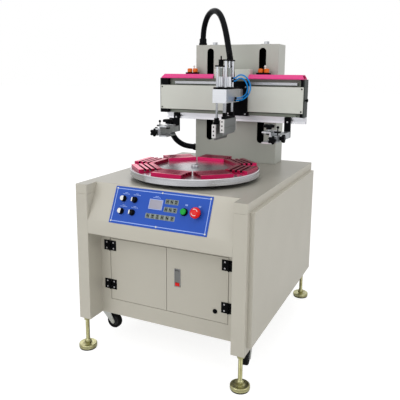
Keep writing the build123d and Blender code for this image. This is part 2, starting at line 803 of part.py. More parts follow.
def caster_fork(x, y, turn, fixed):
    """Pressed fork with its axle. A fixed fork stands hard on its plate."""
    top = POST_BOTTOM - CASTER_PLATE_T - (0 if fixed else PART_GAP)
    inner = CASTER_WHEEL_W / 2 + CASTER_FORK_GAP
    crown = Pos(0, 0, CASTER_AXLE_Z + CASTER_WHEEL_R + 4)
    crown_h = top - CASTER_AXLE_Z - CASTER_WHEEL_R - 4
    fork = crown * extrude(Circle(inner + CASTER_FORK_T + 6), amount=crown_h)
    for side in (-1, 1):
        cheek = make_hull(
            (
                Pos(CASTER_TRAIL, CASTER_AXLE_Z) * Circle(9)
                + Pos(0, CASTER_AXLE_Z + CASTER_WHEEL_R + 6) * Rectangle(36, 4)
            ).edges()
        )
        sheet = Plane.XZ.offset(side * inner if side < 0 else inner) * extrude(cheek, amount=side * CASTER_FORK_T)
        fork += sheet
    fork += Pos(CASTER_TRAIL, inner + CASTER_FORK_T, CASTER_AXLE_Z) * Rot(90, 0, 0) * extrude(
        Circle(CASTER_AXLE_R), amount=2 * (inner + CASTER_FORK_T)
    )
    if not fixed:
        fork -= Pos(0, 0, CASTER_AXLE_Z) * extrude(Circle(CASTER_STEM_R + PIN_CLEARANCE), amount=top)
    return Pos(x, y) * Rot(0, 0, turn) * fork


def caster_wheel(x, y, turn):
    """Wheel with a rounded tread, a recessed disc on both faces and a bore."""
    half = CASTER_WHEEL_W / 2
    outline = Polyline(
        (CASTER_AXLE_R + PIN_CLEARANCE, -half),
        (13, -half),
        (15, -half + 5),
        (CASTER_WHEEL_R - 11, -half + 5),
        (CASTER_WHEEL_R - 8, -half),
        (CASTER_WHEEL_R - 4, -half),
        (CASTER_WHEEL_R, -half + 6),
        (CASTER_WHEEL_R, half - 6),
        (CASTER_WHEEL_R - 4, half),
        (CASTER_WHEEL_R - 8, half),
        (CASTER_WHEEL_R - 11, half - 5),
        (15, half - 5),
        (13, half),
        (CASTER_AXLE_R + PIN_CLEARANCE, half),
        close=True,
    )
    wheel = Rot(90, 0, 0) * revolve(Plane.XZ * make_face(outline), Axis.Z)
    return Pos(x, y) * Rot(0, 0, turn) * Pos(CASTER_TRAIL, 0, CASTER_AXLE_Z) * wheel


def frame_hardware():
    """Lock nuts of the feet, caster plates and the rear casters' fixed forks."""
    pieces = []
    for x, y in foot_places().values():
        nut = hexagon(x, y, POST_BOTTOM - NUT_H, NUT_H, NUT_AF)
        pieces.append(nut - rod((x, y, POST_BOTTOM - NUT_H), (0, 0, 1), NUT_H, FOOT_ROD_R + THREAD_CLEARANCE))
    for name, (x, y, turn) in caster_places().items():
        plate = caster_plate(x, y)
        if name.startswith("rear"):
            plate += caster_fork(x, y, turn, True)
        pieces.append(plate)
    return pieces


def turntable_disc():
    """Turned aluminium disc with broken edges and a clearance hole for the cap's screw."""
    disc = Pos(0, TURN_Y, DISC_TOP - DISC_T) * extrude(Circle(DISC_R), amount=DISC_T)
    return chamfer(disc.edges().filter_by(GeomType.CIRCLE), DISC_EDGE)


def turntable_hub():
    """Output flange and shaft under the disc, and the centre cap on it."""
    under = DISC_TOP - DISC_T
    hub = rod((0, TURN_Y, under - FLANGE_T), (0, 0, 1), FLANGE_T, FLANGE_R)
    hub += rod((0, TURN_Y, SKIN_UNDER - HUB_DEPTH), (0, 0, 1), under - SKIN_UNDER + HUB_DEPTH, HUB_R)
    cap = rod((0, TURN_Y, DISC_TOP), (0, 0, 1), CAP_H, CAP_R)
    cap = chamfer(cap.edges().group_by(Axis.Z)[-1], 2)
    for place in PolarLocations(CAP_R * 0.6, 4):
        cap -= Pos(0, TURN_Y, DISC_TOP + CAP_H - 3) * place * extrude(Circle(CAP_HOLE_R), amount=3)
    return hub, cap


def fixture_blocks():
    """Eight grooved workpiece blocks, one at each station."""
    section = Rectangle(BLOCK_D, BLOCK_H, align=(Align.CENTER, Align.MIN))
    pitch = GROOVE_W + RIDGE_W
    for place in GridLocations(pitch, 1, GROOVES, 1):
        cut = Rectangle(GROOVE_W, GROOVE_DEPTH, align=(Align.CENTER, Align.MAX))
        section -= Pos(0, BLOCK_H) * place * cut
    upright = Plane(origin=(0, BLOCK_W / 2, 0), x_dir=(1, 0, 0), z_dir=(0, -1, 0))
    bar = upright * extrude(section, amount=BLOCK_W)
    bar = Pos(BLOCK_OUTER - BLOCK_D / 2, 0, DISC_TOP) * bar
    return [Pos(0, TURN_Y) * Rot(0, 0, k * 360 / STATIONS - 90) * bar for k in range(STATIONS)]


def index_gearbox():
    """Indexer under the table, with its ring rising through the table top."""
    top = SKIN_UNDER
    half = GEARBOX_W / 2
    low = top - GEARBOX_H
    box = block(-half, half, TURN_Y - half, TURN_Y + half, low, top)
    box = chamfer(box.edges().filter_by(Axis.Z), 12)
    ring_top = FLANGE_UNDER - RING_GAP
    box += rod((0, TURN_Y, top), (0, 0, 1), ring_top - top, RING_R)
    depth = ring_top - top + HUB_DEPTH + RING_GAP
    box -= rod((0, TURN_Y, top - HUB_DEPTH - RING_GAP), (0, 0, 1), depth, HUB_R + BEARING_CLEARANCE)
    start = (0, TURN_Y + half - INPUT_SHAFT_IN, low + GEARBOX_H / 3)
    box -= rod(start, (0, 1, 0), INPUT_SHAFT_IN, INPUT_SHAFT_R + BEARING_CLEARANCE)
    return box


def input_axis():
    """Start of the input shaft at the gearbox face, as y and z."""
    return TURN_Y + GEARBOX_W / 2, SKIN_UNDER - GEARBOX_H * 2 / 3


def motor_face():
    """Y of the motor's front flange."""
    return input_axis()[0] + COUPLING_L + 2 * COUPLING_GAP


def input_coupling():
    """Input shaft with its split coupling, from the gearbox into the motor."""
    y, z = input_axis()
    inset = INPUT_SHAFT_IN - 2 * COUPLING_GAP / 3
    length = motor_face() - y + 2 * inset
    shaft = rod((0, y - inset, z), (0, 1, 0), length, INPUT_SHAFT_R)
    shaft += rod((0, y + COUPLING_GAP, z), (0, 1, 0), COUPLING_L, COUPLING_R)
    groove = rod((0, y + COUPLING_GAP + COUPLING_L / 2 - 3, z), (0, 1, 0), 6, COUPLING_R)
    core = rod((0, y + COUPLING_GAP + COUPLING_L / 2 - 3, z), (0, 1, 0), 6, COUPLING_R - 5)
    return shaft - (groove - core)


def drive_motor():
    """Finned motor on a plate that hangs from the table's underside."""
    y = motor_face()
    z = input_axis()[1]
    hang = MOTOR_R + 15
    plate = block(-hang, hang, y, y + MOTOR_PLATE_T, z - hang, SKIN_UNDER)
    body = Circle(MOTOR_R)
    for place in PolarLocations(MOTOR_R, 24):
        body -= place * Rectangle(8, 4)
    back = Plane(origin=(0, y + MOTOR_PLATE_T, z), z_dir=(0, 1, 0))
    motor = back * extrude(body, amount=MOTOR_L)
    bore = rod((0, y, z), (0, 1, 0), INPUT_SHAFT_IN, INPUT_SHAFT_R + BEARING_CLEARANCE)
    return plate + motor - bore


def electrical_box():
    """Sheet box for the controls on the floor pan with its lid closed, and the valve bank beside it."""
    low = POST_BOTTOM + FLOOR_T
    x0, y0 = BOX_X, REAR - BOX_FROM_REAR
    x1, y1, high = x0 + BOX_W, y0 + BOX_D, low + BOX_H
    box = block(x0, x1, y0, y1, low, high)
    box -= block(x0 + SHEET, x1 - SHEET, y0, y1 - SHEET, low + SHEET, high - SHEET)
    rim = 3 * SHEET
    lid = block(x0 - rim, x1 + rim, y0 - 4 * SHEET, y0, low + rim, high - rim)
    x, y = VALVE_X, REAR - VALVE_FROM_REAR
    valve = block(x, x + VALVE_COUNT * VALVE_PITCH, y, y + VALVE_D, low, low + VALVE_D / 2)
    for k in range(VALVE_COUNT):
        start = x + (k + 0.1) * VALVE_PITCH
        valve += block(start, start + 0.8 * VALVE_PITCH, y + 15, y + VALVE_D - 15, low, low + VALVE_D)
    return box, fillet(lid.edges().filter_by(Axis.Y), 6), valve


def slot_cutter():
    """The pair of upright slots in the column's front."""
    cutters = []
    for side in (-1, 1):
        plane = Plane(
            origin=(side * SLOT_X, COLUMN_Y, (SLOT_LOW + SLOT_HIGH) / 2), x_dir=(0, 0, 1), z_dir=(0, 1, 0)
        )
        cutters.append(plane * extrude(SlotOverall(SLOT_HIGH - SLOT_LOW, SLOT_W), amount=COLUMN_WALL))
    return cutters


def column_housing():
    """Sheet column with two slots for the lift arms, open at the back."""
    half = COLUMN_W / 2
    back = COLUMN_Y + COLUMN_D
    shell = block(-half, half, COLUMN_Y, back, TABLE_TOP, COLUMN_TOP)
    shell -= block(
        -half + COLUMN_WALL,
        half - COLUMN_WALL,
        COLUMN_Y + COLUMN_WALL,
        back,
        TABLE_TOP,
        COLUMN_TOP - COLUMN_WALL,
    )
    for cutter in slot_cutter():
        shell -= cutter
    return shell


def column_back():
    """Rear cover of the column, between its side walls."""
    half = COLUMN_W / 2 - COLUMN_WALL
    back = COLUMN_Y + COLUMN_D
    return block(-half, half, back - COLUMN_WALL, back, TABLE_TOP, COLUMN_TOP - COLUMN_WALL)


def lift_unit():
    """Base plate, two guide shafts with their top screws, and the lift cylinder."""
    base_top = TABLE_TOP + GUIDE_BASE_T
    reach = SLOT_X + GUIDE_BASE_OVER
    half = GUIDE_BASE_D / 2
    pieces = [block(-reach, reach, GUIDE_Y - half, GUIDE_Y + half, TABLE_TOP, base_top)]
    for side in (-1, 1):
        length = COLUMN_TOP - COLUMN_WALL - base_top
        pieces.append(rod((side * SLOT_X, GUIDE_Y, base_top), (0, 0, 1), length, GUIDE_R))
        washer = rod((side * SLOT_X, GUIDE_Y, COLUMN_TOP), (0, 0, 1), GUIDE_CAP_T, GUIDE_CAP_R)
        head = hexagon(side * SLOT_X, GUIDE_Y, COLUMN_TOP + GUIDE_CAP_T, GUIDE_SCREW_H, GUIDE_SCREW_AF)
        pieces.append(washer + head)
    barrel = rod((0, GUIDE_Y, base_top), (0, 0, 1), CYLINDER_TOP - base_top, CYLINDER_R)
    bore_low = base_top + 20
    barrel -= rod((0, GUIDE_Y, bore_low), (0, 0, 1), CYLINDER_TOP - bore_low, PISTON_R + BEARING_CLEARANCE)
    pieces.append(barrel)
    return pieces


def lift_arms():
    """Arms, guide bushes, cross bar and piston rod that carry the beam."""
    cross = block(
        -SLOT_X, SLOT_X, GUIDE_Y - CROSS_D / 2, GUIDE_Y + CROSS_D / 2, CROSS_LOW, CROSS_LOW + CROSS_H
    )
    frame = cross + rod((0, GUIDE_Y, PISTON_LOW), (0, 0, 1), CROSS_LOW - PISTON_LOW, PISTON_R)
    for side in (-1, 1):
        x = side * SLOT_X
        frame += block(x - ARM_W / 2, x + ARM_W / 2, BEAM_BACK, GUIDE_Y, ARM_LOW, ARM_HIGH)
        frame += block(x - ARM_W, x + ARM_W, BEAM_BACK, BEAM_BACK + 8, ARM_LOW - 10, ARM_HIGH)
        frame += block(
            x - BUSH_W / 2,
            x + BUSH_W / 2,
            GUIDE_Y - BUSH_W / 2,
            GUIDE_Y + BUSH_W / 2,
            ARM_LOW - BUSH_EXTRA,
            ARM_HIGH + BUSH_EXTRA,
        )
    for side in (-1, 1):
        length = ARM_HIGH - ARM_LOW + 2 * BUSH_EXTRA
        start = (side * SLOT_X, GUIDE_Y, ARM_LOW - BUSH_EXTRA)
        frame -= rod(start, (0, 0, 1), length, GUIDE_R + BEARING_CLEARANCE)
    return frame


def beam_channel():
    """Aluminium profile with a web at mid height, which carries the rails."""
    outer = block(-BEAM_HALF, BEAM_HALF, BEAM_Y, BEAM_BACK, BEAM_LOW, BEAM_HIGH)
    inner = block(
        -BEAM_HALF,
        BEAM_HALF,
        BEAM_Y + BEAM_WALL,
        BEAM_BACK - BEAM_WALL,
        BEAM_LOW + BEAM_WALL,
        BEAM_HIGH - BEAM_WALL,
    )
    middle = (BEAM_LOW + BEAM_HIGH) / 2
    web = block(-BEAM_HALF, BEAM_HALF, BEAM_Y, BEAM_BACK, middle - BEAM_WALL / 2, middle + BEAM_WALL / 2)
    return outer - inner + web


def pink_profile():
    """Section of the long top covers: front lip, slope and flat top."""
    back = BEAM_BACK
    return Polyline(
        (FACE_Y, PINK_LOW),
        (FACE_Y, PINK_LOW + PINK_LIP),
        (FACE_Y + PINK_SLOPE, PINK_LOW + PINK_RISE),
        (back, PINK_LOW + PINK_RISE),
        (back, PINK_LOW),
        close=True,
    )


def pink_cover(x0, x1, outer_side):
    """One top cover with a mitred outer end and a hollow underside."""
    side = Plane(origin=(x0, 0, 0), x_dir=(0, 1, 0), z_dir=(1, 0, 0))
    outline = make_face(pink_profile())
    bar = side * extrude(outline, amount=x1 - x0)
    bar -= side * extrude(offset(outline, amount=-COVER_SHEET), amount=x1 - x0)
    return bar - mitre(outer_side, PINK_END_T)


def mitre(side, inset):
    """Cutter that slopes the outer end of a top cover inwards as it rises."""
    end = side * (BEAM_HALF + MITRE_PROUD - inset)
    top = PINK_LOW + PINK_RISE + 1
    plane = Plane(origin=(0, FACE_Y - 5, 0), x_dir=(1, 0, 0), z_dir=(0, -1, 0))
    wedge = make_face(
        Polyline(
            (end, PINK_LOW - 1),
            (end, PINK_LOW + PINK_LIP),
            (end - side * MITRE_RUN, top),
            (end + side * 2 * MITRE_RUN, top),
            (end + side * 2 * MITRE_RUN, PINK_LOW - 1),
            close=True,
        )
    )
    return plane * extrude(wedge, amount=-(BEAM_BACK - FACE_Y + 10))


def pink_covers():
    """The two long top covers."""
    end = BEAM_HALF + MITRE_PROUD
    return pink_cover(-end, PINK_INNER[0], -1), pink_cover(PINK_INNER[1], end, 1)


def beam_ends():
    """Grey end plates, the black caps over the covers' ends and the side lock knob."""
    pieces = []
    side_plane = Plane.YZ
    for side in (-1, 1):
        x0, x1 = sorted((side * BEAM_HALF, side * (BEAM_HALF + END_PLATE_T)))
        pieces.append(block(x0, x1, FACE_Y + SHEET, BEAM_BACK, BEAM_LOW, BEAM_HIGH))
        end = BEAM_HALF + MITRE_PROUD
        x0 = min(side * end, side * (end - 2 * MITRE_RUN))
        cap = Pos(x0, 0, 0) * side_plane * extrude(make_face(pink_profile()), amount=2 * MITRE_RUN)
        pieces.append((cap - mitre(side, 0)) & mitre(side, PINK_END_T))
    outer = BEAM_HALF + END_PLATE_T
    pieces.append(rod((outer, BEAM_Y, END_KNOB_Z), (1, 0, 0), 5, 4) + rod((outer + 5, BEAM_Y, END_KNOB_Z), (1, 0, 0), 6, 7))
    return pieces


def beam_covers():
    """Front cover plate with its corner screws, and the raised centre cover."""
    half = BEAM_HALF + 2
    pieces = [block(-half, half, FACE_Y, FACE_Y + SHEET, FACE_LOW, FACE_HIGH)]
    for x in (-half + SCREW_IN, half - SCREW_IN):
        for z in (FACE_LOW + SCREW_IN, FACE_HIGH - SCREW_IN):
            pieces.append(screw((x, FACE_Y, z), (0, -1, 0)))
    x0, x1 = PINK_INNER
    lid = block(x0, x1, FACE_Y + PINK_SLOPE, BEAM_BACK + 4, BEAM_HIGH, CREAM_TOP)
    lid = fillet(lid.edges().filter_by(Axis.X).sort_by(Axis.Z)[-2:], 3)
    lid -= block(
        x0 + SHEET,
        x1 - SHEET,
        FACE_Y + PINK_SLOPE + SHEET,
        BEAM_BACK + 4 - SHEET,
        BEAM_HIGH,
        CREAM_TOP - SHEET,
    )
    pieces.append(lid)
    return pieces


def rail_section(z):
    """Profile rail with a groove on each side."""
    x0, x1 = -BEAM_HALF + RAIL_INSET[0], BEAM_HALF - RAIL_INSET[1]
    rail = block(x0, x1, BEAM_Y - RAIL_SIZE, BEAM_Y, z - RAIL_SIZE / 2, z + RAIL_SIZE / 2)
    for side in (-1, 1):
        z0, z1 = sorted((z + side * RAIL_SIZE / 2, z + side * (RAIL_SIZE / 2 - 1.5)))
        rail -= block(x0, x1, BEAM_Y - 8, BEAM_Y - 4, z0, z1)
    return rail


def linear_rails():
    """Two rails on the beam's face, and a stop block in each corner beside the cover plate."""
    pieces = []
    for z in RAIL_Z:
        pieces.append(rail_section(z))
    end = BEAM_HALF - STOP_GAP
    for low, high in ((FACE_HIGH + STOP_GAP, BEAM_HIGH), (BEAM_LOW, FACE_LOW - STOP_GAP)):
        for x0, x1 in ((-end, STOP_L[0] - end), (end - STOP_L[1], end)):
            pieces.append(block(x0, x1, FACE_Y + SHEET + STOP_GAP, BEAM_Y, low, high))
    return pieces


def screen_rail():
    """Slotted extrusion under the beam that holds the screen clamps."""
    low = SCREEN_RAIL_LOW
    x0, x1 = -BEAM_HALF + SCREEN_RAIL_INSET, BEAM_HALF + END_PLATE_T
    y0, y1 = SCREEN_RAIL_Y, BEAM_BACK
    bar = block(x0, x1, y0, y1, low, BEAM_LOW)
    mid = low + SCREEN_RAIL_H / 2
    half = SCREEN_SLOT / 2
    bar -= block(x0, x1, y0, y0 + SCREEN_SLOT_DEPTH, mid - half, mid + half)
    inner = y0 + SCREEN_LIP
    bar -= block(x0, x1, inner, y0 + SCREEN_SLOT_DEPTH, mid - 2 * half, mid + 2 * half)
    centre = (y0 + y1) / 2
    bar -= block(x0, x1, centre - half, centre + half, low, low + SCREEN_SLOT_DEPTH)
    return bar


def thumb_screws():
    """Two pairs of knurled height setting screws on their bracket."""
    pieces = []
    y = BEAM_BACK + 8
    for centre in THUMB_PAIRS:
        low = PINK_LOW + PINK_RISE
        pieces.append(block(centre - 32, centre + 32, y - 26, y, low, low + 8))
        for side in (-1, 1):
            x = centre + side * THUMB_PITCH / 2
            grip = Circle(THUMB_R)
            for place in PolarLocations(THUMB_R, 16):
                grip -= place * Circle(1)
            pieces.append(Pos(x, y - 13, low + 8) * extrude(grip, amount=THUMB_H))
        pieces.append(rod((centre + 5, y - 6, low + 8), (0, 0, 1), THUMB_H + THUMB_POST, 4))
    return pieces


def runner(z):
    """Bearing block that wraps a rail from the front."""
    half = RUNNER_H / 2
    x0, x1 = HEAD_X - CARRIAGE_W / 2, HEAD_X + CARRIAGE_W / 2
    back = BEAM_Y - RUNNER_CLEARANCE
    body = block(x0, x1, PLATE_Y + CARRIAGE_T, back, z - half, z + half)
    gap = RUNNER_CLEARANCE
    y0 = BEAM_Y - RAIL_SIZE - gap
    return body - block(x0, x1, y0, back, z - RAIL_SIZE / 2 - gap, z + RAIL_SIZE / 2 + gap)


def carriage_plate():
    """Front plate of the carriage with a bearing block above and below the beam's cover."""
    x0, x1 = HEAD_X - CARRIAGE_W / 2, HEAD_X + CARRIAGE_W / 2
    plate = block(x0, x1, PLATE_Y, PLATE_Y + CARRIAGE_T, CARRIAGE_LOW, CARRIAGE_HIGH)
    plate = fillet(plate.edges().filter_by(Axis.Y), 3)
    back = PLATE_Y + CARRIAGE_T
    lap_low = CARRIAGE_HIGH - CARRIAGE_LAP
    lap = block(x0, x1, back, FACE_Y - COVER_CLEARANCE, lap_low, RAIL_Z[0] + RUNNER_H / 2)
    body = plate + lap + runner(RAIL_Z[0]) + runner(RAIL_Z[1])
    pieces = [body]
    for x in (x0 + SCREW_IN, x1 - SCREW_IN):
        for z in (CARRIAGE_LOW + SCREW_IN, CARRIAGE_HIGH - SCREW_IN):
            pieces.append(screw((x, PLATE_Y, z), (0, -1, 0)))
    return pieces


def guide_rod_places():
    """Centres of the four guide rods in the head."""
    return [(x, HEAD_Y + side * GUIDE_ROD_SPREAD) for x in UNIT_X for side in (-1, 1)]


def head_block():
    """Machined block that reaches forward from the carriage, bored for the guide rods."""
    x0, x1 = HEAD_X - HEAD_W / 2, HEAD_X + HEAD_W / 2
    body = block(x0, x1, FRONT + HEAD_FRONT, FRONT + HEAD_BACK, HEAD_LOW, HEAD_HIGH)
    body = chamfer(body.edges().filter_by(Axis.Z), 2)
    for x, y in guide_rod_places():
        body -= rod((x, y, HEAD_LOW), (0, 0, 1), HEAD_HIGH - HEAD_LOW, GUIDE_ROD_R + ROD_CLEARANCE)
    bracket = block(x0 + 3, x1 - 3, FRONT + HEAD_BACK, PLATE_Y, HEAD_LOW + 3, HEAD_HIGH - 3)
    return body, bracket


def head_top():
    """Black plate on the block, two air cylinders and the hose gland."""
    x0, x1 = HEAD_X - HEAD_W / 2, HEAD_X + HEAD_W / 2
    top = HEAD_HIGH + HEAD_PLATE_T
    plate = block(x0, x1, FRONT + HEAD_FRONT + 11, FRONT + HEAD_PLATE_BACK, HEAD_HIGH, top)
    for x, y in guide_rod_places():
        plate -= rod((x, y, HEAD_HIGH), (0, 0, 1), HEAD_PLATE_T, GUIDE_ROD_R + ROD_CLEARANCE)
    pieces = [plate]
    for x in UNIT_X:
        barrel = rod((x, HEAD_Y, top), (0, 0, 1), AIR_TOP - top, AIR_R)
        barrel = chamfer(barrel.edges().filter_by(GeomType.CIRCLE), 1.5)
        barrel += rod((x, HEAD_Y, AIR_TOP), (0, 0, 1), AIR_NECK_TOP - AIR_TOP, AIR_NECK_R)
        bore = top + AIR_FLOOR
        depth = AIR_NECK_TOP - bore
        pieces.append(barrel - rod((x, HEAD_Y, bore), (0, 0, 1), depth, AIR_ROD_R + ROD_CLEARANCE))
    x, y, z = TOP_HOSE_ROUTE[-1]
    pieces.append(gland((x, FRONT + y, z), (0, 0, 1), HOSE_R, HOSE_GLAND_R, HOSE_GLAND_H))
    port = TUBE_ROUTE[0]
    pieces.append(
        rod((UNIT_X[1] + AIR_R, FRONT + port[1], port[2]), (1, 0, 0), port[0] - UNIT_X[1] - AIR_R, FITTING_R)
    )
    port = TUBE_ROUTE[-1]
    pieces.append(rod((x1, FRONT + port[1], port[2]), (1, 0, 0), port[0] - x1, FITTING_R))
    return pieces


def gland(start, axis, hose_r, outer_r, height):
    """Cable gland: a hexagonal base and a round nut, bored for its hose."""
    base = extrude(RegularPolygon(outer_r, 6, major_radius=False), amount=height / 3)
    nut = Pos(0, 0, height / 3) * extrude(Circle(outer_r - 1), amount=2 * height / 3)
    bore = extrude(Circle(hose_r), amount=height)
    return Plane(origin=start, z_dir=axis) * (base + nut - bore)


def hose_glands():
    """Glands of the two hoses on the column, and the elbow box behind the beam."""
    x, y, z = TOP_HOSE_ROUTE[0]
    top = gland((x, FRONT + y, z), (0, 0, 1), HOSE_R, HOSE_GLAND_R, HOSE_GLAND_H)
    x, y, z = SIDE_HOSE_ROUTE[0]
    side = gland((x, FRONT + y, z), (-1, 0, 0), SIDE_HOSE_R + 0.5, HOSE_GLAND_R, HOSE_GLAND_H)
    return top, side


def hose_elbow():
    """Elbow box on the beam's back that takes the side hose from below."""
    x, y, z = SIDE_HOSE_ROUTE[-1]
    half = ELBOW / 2
    return block(x - half, x + half, BEAM_BACK, BEAM_BACK + ELBOW + 6, z, z + ELBOW)


def slide_unit(x, lift):
    """Guide rods, bars, piston rod and stroke nut of one squeegee or flood bar slide."""
    pieces = []
    low_bar = block(
        x - BAR_W / 2,
        x + BAR_W / 2,
        HEAD_Y - GUIDE_ROD_SPREAD - 20,
        HEAD_Y + GUIDE_ROD_SPREAD + 20,
        ROD_LOW + lift,
        ROD_LOW + LOW_BAR_H + lift,
    )
    top_z = TOP_BAR_Z + lift
    reach = GUIDE_ROD_SPREAD + 8
    top_bar = block(x - BAR_W / 2, x + BAR_W / 2, HEAD_Y - reach, HEAD_Y + reach, top_z, top_z + TOP_BAR_H)
    pieces += [low_bar, top_bar]
    bottom = ROD_LOW + LOW_BAR_H + lift
    for side in (-1, 1):
        y = HEAD_Y + side * GUIDE_ROD_SPREAD
        pieces.append(rod((x, y, bottom), (0, 0, 1), top_z - bottom, GUIDE_ROD_R))
        half = ROD_FOOT_L / 2
        foot = block(x - BAR_W / 2, x + BAR_W / 2, y - half, y + half, bottom, bottom + ROD_FOOT_H)
        pieces.append(foot - rod((x, y, bottom), (0, 0, 1), ROD_FOOT_H, GUIDE_ROD_R + ROD_CLEARANCE))
    rod_low = AIR_TOP - AIR_ROD_IN + lift
    pieces.append(rod((x, HEAD_Y, rod_low), (0, 0, 1), top_z - rod_low, AIR_ROD_R))
    nut = Circle(STROKE_NUT_R)
    for place in PolarLocations(STROKE_NUT_R, 14):
        nut -= place * Circle(1)
    pieces.append(Pos(x, HEAD_Y, top_z + TOP_BAR_H) * extrude(nut, amount=STROKE_NUT_H))
    pieces.append(rod((x, HEAD_Y, top_z + TOP_BAR_H + STROKE_NUT_H), (0, 0, 1), 15, 3))
    return pieces


def blade_holder(x, lift, blade_t):
    """Holder bar along Y with its blade and the two clips that hang it from the low bar."""
    half = HOLDER_L / 2
    y0, y1 = HEAD_Y - half, HEAD_Y + half
    x0 = x - HOLDER_T / 2 + 3
    bar = block(x0, x0 + HOLDER_T, y0, y1, HOLDER_LOW + lift, HOLDER_HIGH + lift)
    bar -= block(x0 + HOLDER_T - 2, x0 + HOLDER_T, y0, y1, HOLDER_LOW + 18 + lift, HOLDER_LOW + 24 + lift)
    mid = x0 + HOLDER_T / 2
    blade = block(
        mid - blade_t / 2, mid + blade_t / 2, y0, y1, HOLDER_LOW - BLADE_DROP + lift, HOLDER_LOW + lift
    )
    pieces = [bar, blade]
    for side in (-1, 1):
        y = HEAD_Y + side * GUIDE_ROD_SPREAD
        clip = block(x0 - CLIP_W + 3, x0, y - CLIP_L / 2, y + CLIP_L / 2, CLIP_LOW + lift, HOLDER_HIGH + lift)
        pieces.append(fillet(clip.edges().filter_by(Axis.X), 4))
        y_end, y_out = sorted((HEAD_Y + side * half, HEAD_Y + side * (half + END_CLIP_T)))
        cap = block(x - END_CLIP_W / 2, x + END_CLIP_W / 2, y_end, y_out, HOLDER_LOW + lift, HOLDER_HIGH + lift)
        pieces.append(fillet(cap.edges().filter_by(Axis.Y), 3))
    return pieces


def clamp_frame(side):
    """Black bracket and knobs of one screen clamp."""
    x = side * CLAMP_X
    half = CLAMP_W / 2
    back = SCREEN_RAIL_Y
    bracket = block(x - half, x + half, back - CLAMP_BACK_T, back, CLAMP_LOW, BEAM_LOW - 1)
    bracket = fillet(bracket.edges().filter_by(Axis.Y), 2)
    slot = SCREEN_RAIL_LOW + SCREEN_RAIL_H / 2
    neck = SCREEN_SLOT / 2 - T_NUT_CLEARANCE
    head = SCREEN_SLOT - T_NUT_CLEARANCE
    inner = back + SCREEN_SLOT_DEPTH - T_NUT_CLEARANCE
    bracket += block(x - 10, x + 10, back, inner, slot - neck, slot + neck)
    bracket += block(x - 10, x + 10, back + SCREEN_LIP + T_NUT_CLEARANCE, inner, slot - head, slot + head)
    mid = CLAMP_LOW + CLAMP_ARM_H / 2
    front = star_knob((x, FRONT + CLAMP_ARM_FRONT, mid), (0, -1, 0), STAR_R)
    outer = star_knob((side * (CLAMP_X + half), FRONT + PRESS_FROM_FRONT, mid), (side, 0, 0), STAR_R)
    return bracket, front, outer, clamp_lever(side)


def clamp_lever(side):
    """Locking screw on the arm, with a flat disc and a ball on its stem."""
    x, y = side * LEVER_X, FRONT + LEVER_FROM_FRONT
    foot = CLAMP_LOW + CLAMP_ARM_H
    stem = rod((x, y, foot), (0, 0, 1), LEVER_H, LEVER_STEM_R)
    disc = rod((x, y, foot + LEVER_DISC_LIFT), (0, 0, 1), LEVER_DISC_H, LEVER_DISC_R)
    return stem + disc + Pos(x, y, foot + LEVER_H + LEVER_BALL_R / 2) * Sphere(LEVER_BALL_R)


def clamp_arm(side):
    """Arm that reaches forward, with the jaw that takes the screen frame's rail."""
    half = CLAMP_W / 2
    x0, x1 = sorted((side * (CLAMP_X - half), side * (CLAMP_X + half)))
    back = SCREEN_RAIL_Y - CLAMP_BACK_T
    arm = block(x0, x1, FRONT + CLAMP_ARM_FRONT, back, CLAMP_LOW, CLAMP_LOW + CLAMP_ARM_H)
    root = side * (CLAMP_X - half)
    y0, y1 = FRONT + JAW_FRONT, FRONT + JAW_BACK
    wall = sorted((root, root - side * JAW_T))
    jaw = block(*wall, y0, y1, CLAMP_LOW - JAW_T, JAW_TOP)
    reach = sorted((root, side * JAW_INNER))
    jaw += block(*reach, y0, y1, CLAMP_LOW - JAW_T, CLAMP_LOW)
    jaw += block(*reach, y0, y1, JAW_TOP - JAW_T, JAW_TOP)
    x, y = press_place(side)
    jaw -= rod((x, y, JAW_TOP - JAW_T), (0, 0, 1), JAW_T, PRESS_R + ROD_CLEARANCE)
    return arm + jaw


def press_place(side):
    """X and Y of one clamp's pressing screw."""
    return side * (JAW_INNER + (CLAMP_X - CLAMP_W / 2 - JAW_INNER - JAW_T) / 2), FRONT + PRESS_FROM_FRONT


def clamp_press(side):
    """Pressing screw with its pad and star knob."""
    x, y = press_place(side)
    pad = rod((x, y, PRESS_LOW), (0, 0, 1), PRESS_PAD_H, PRESS_PAD_R)
    top = JAW_TOP + PRESS_STAR_LIFT
    stem = rod((x, y, PRESS_LOW + PRESS_PAD_H), (0, 0, 1), top - PRESS_LOW - PRESS_PAD_H, PRESS_R)
    return pad + stem + star_knob((x, y, top), (0, 0, 1), PRESS_STAR_R)


os.makedirs("parts", exist_ok=True)

save("cabinet_frame", cabinet_frame())
save("console_hood", console_hood())
save("table_top", table_top())
save("cover_panels", side_cover(-1), side_cover(1), rear_panel(), column_back())
save("control_plate", control_plate())
save("panel_fittings", *panel_fittings())
save("hinge_frame_leaves", *hinge_fixed_leaves())
save("frame_hardware", *frame_hardware())
save("column_housing", column_housing())
save("hose_glands", *hose_glands())
save("lift_unit", *lift_unit())
save("index_gearbox", index_gearbox())
save("drive_motor", drive_motor())
save("electrical_box", *electrical_box())
save("top_hose", tube_path(TOP_HOSE_ROUTE, HOSE_R))
save("side_hose", tube_path(SIDE_HOSE_ROUTE, SIDE_HOSE_R))

save("turntable_disc", turntable_disc())
save("turntable_hub", *turntable_hub())
save("fixture_blocks", *fixture_blocks())
save("input_coupling", input_coupling())

save("lift_arms", lift_arms())
save("beam_channel", beam_channel())
save("beam_ends", *beam_ends(), hose_elbow())
save("beam_covers", *beam_covers())
save("pink_covers", *pink_covers())
save("linear_rails", *linear_rails())
save("screen_rail", screen_rail())
save("thumb_screws", *thumb_screws())

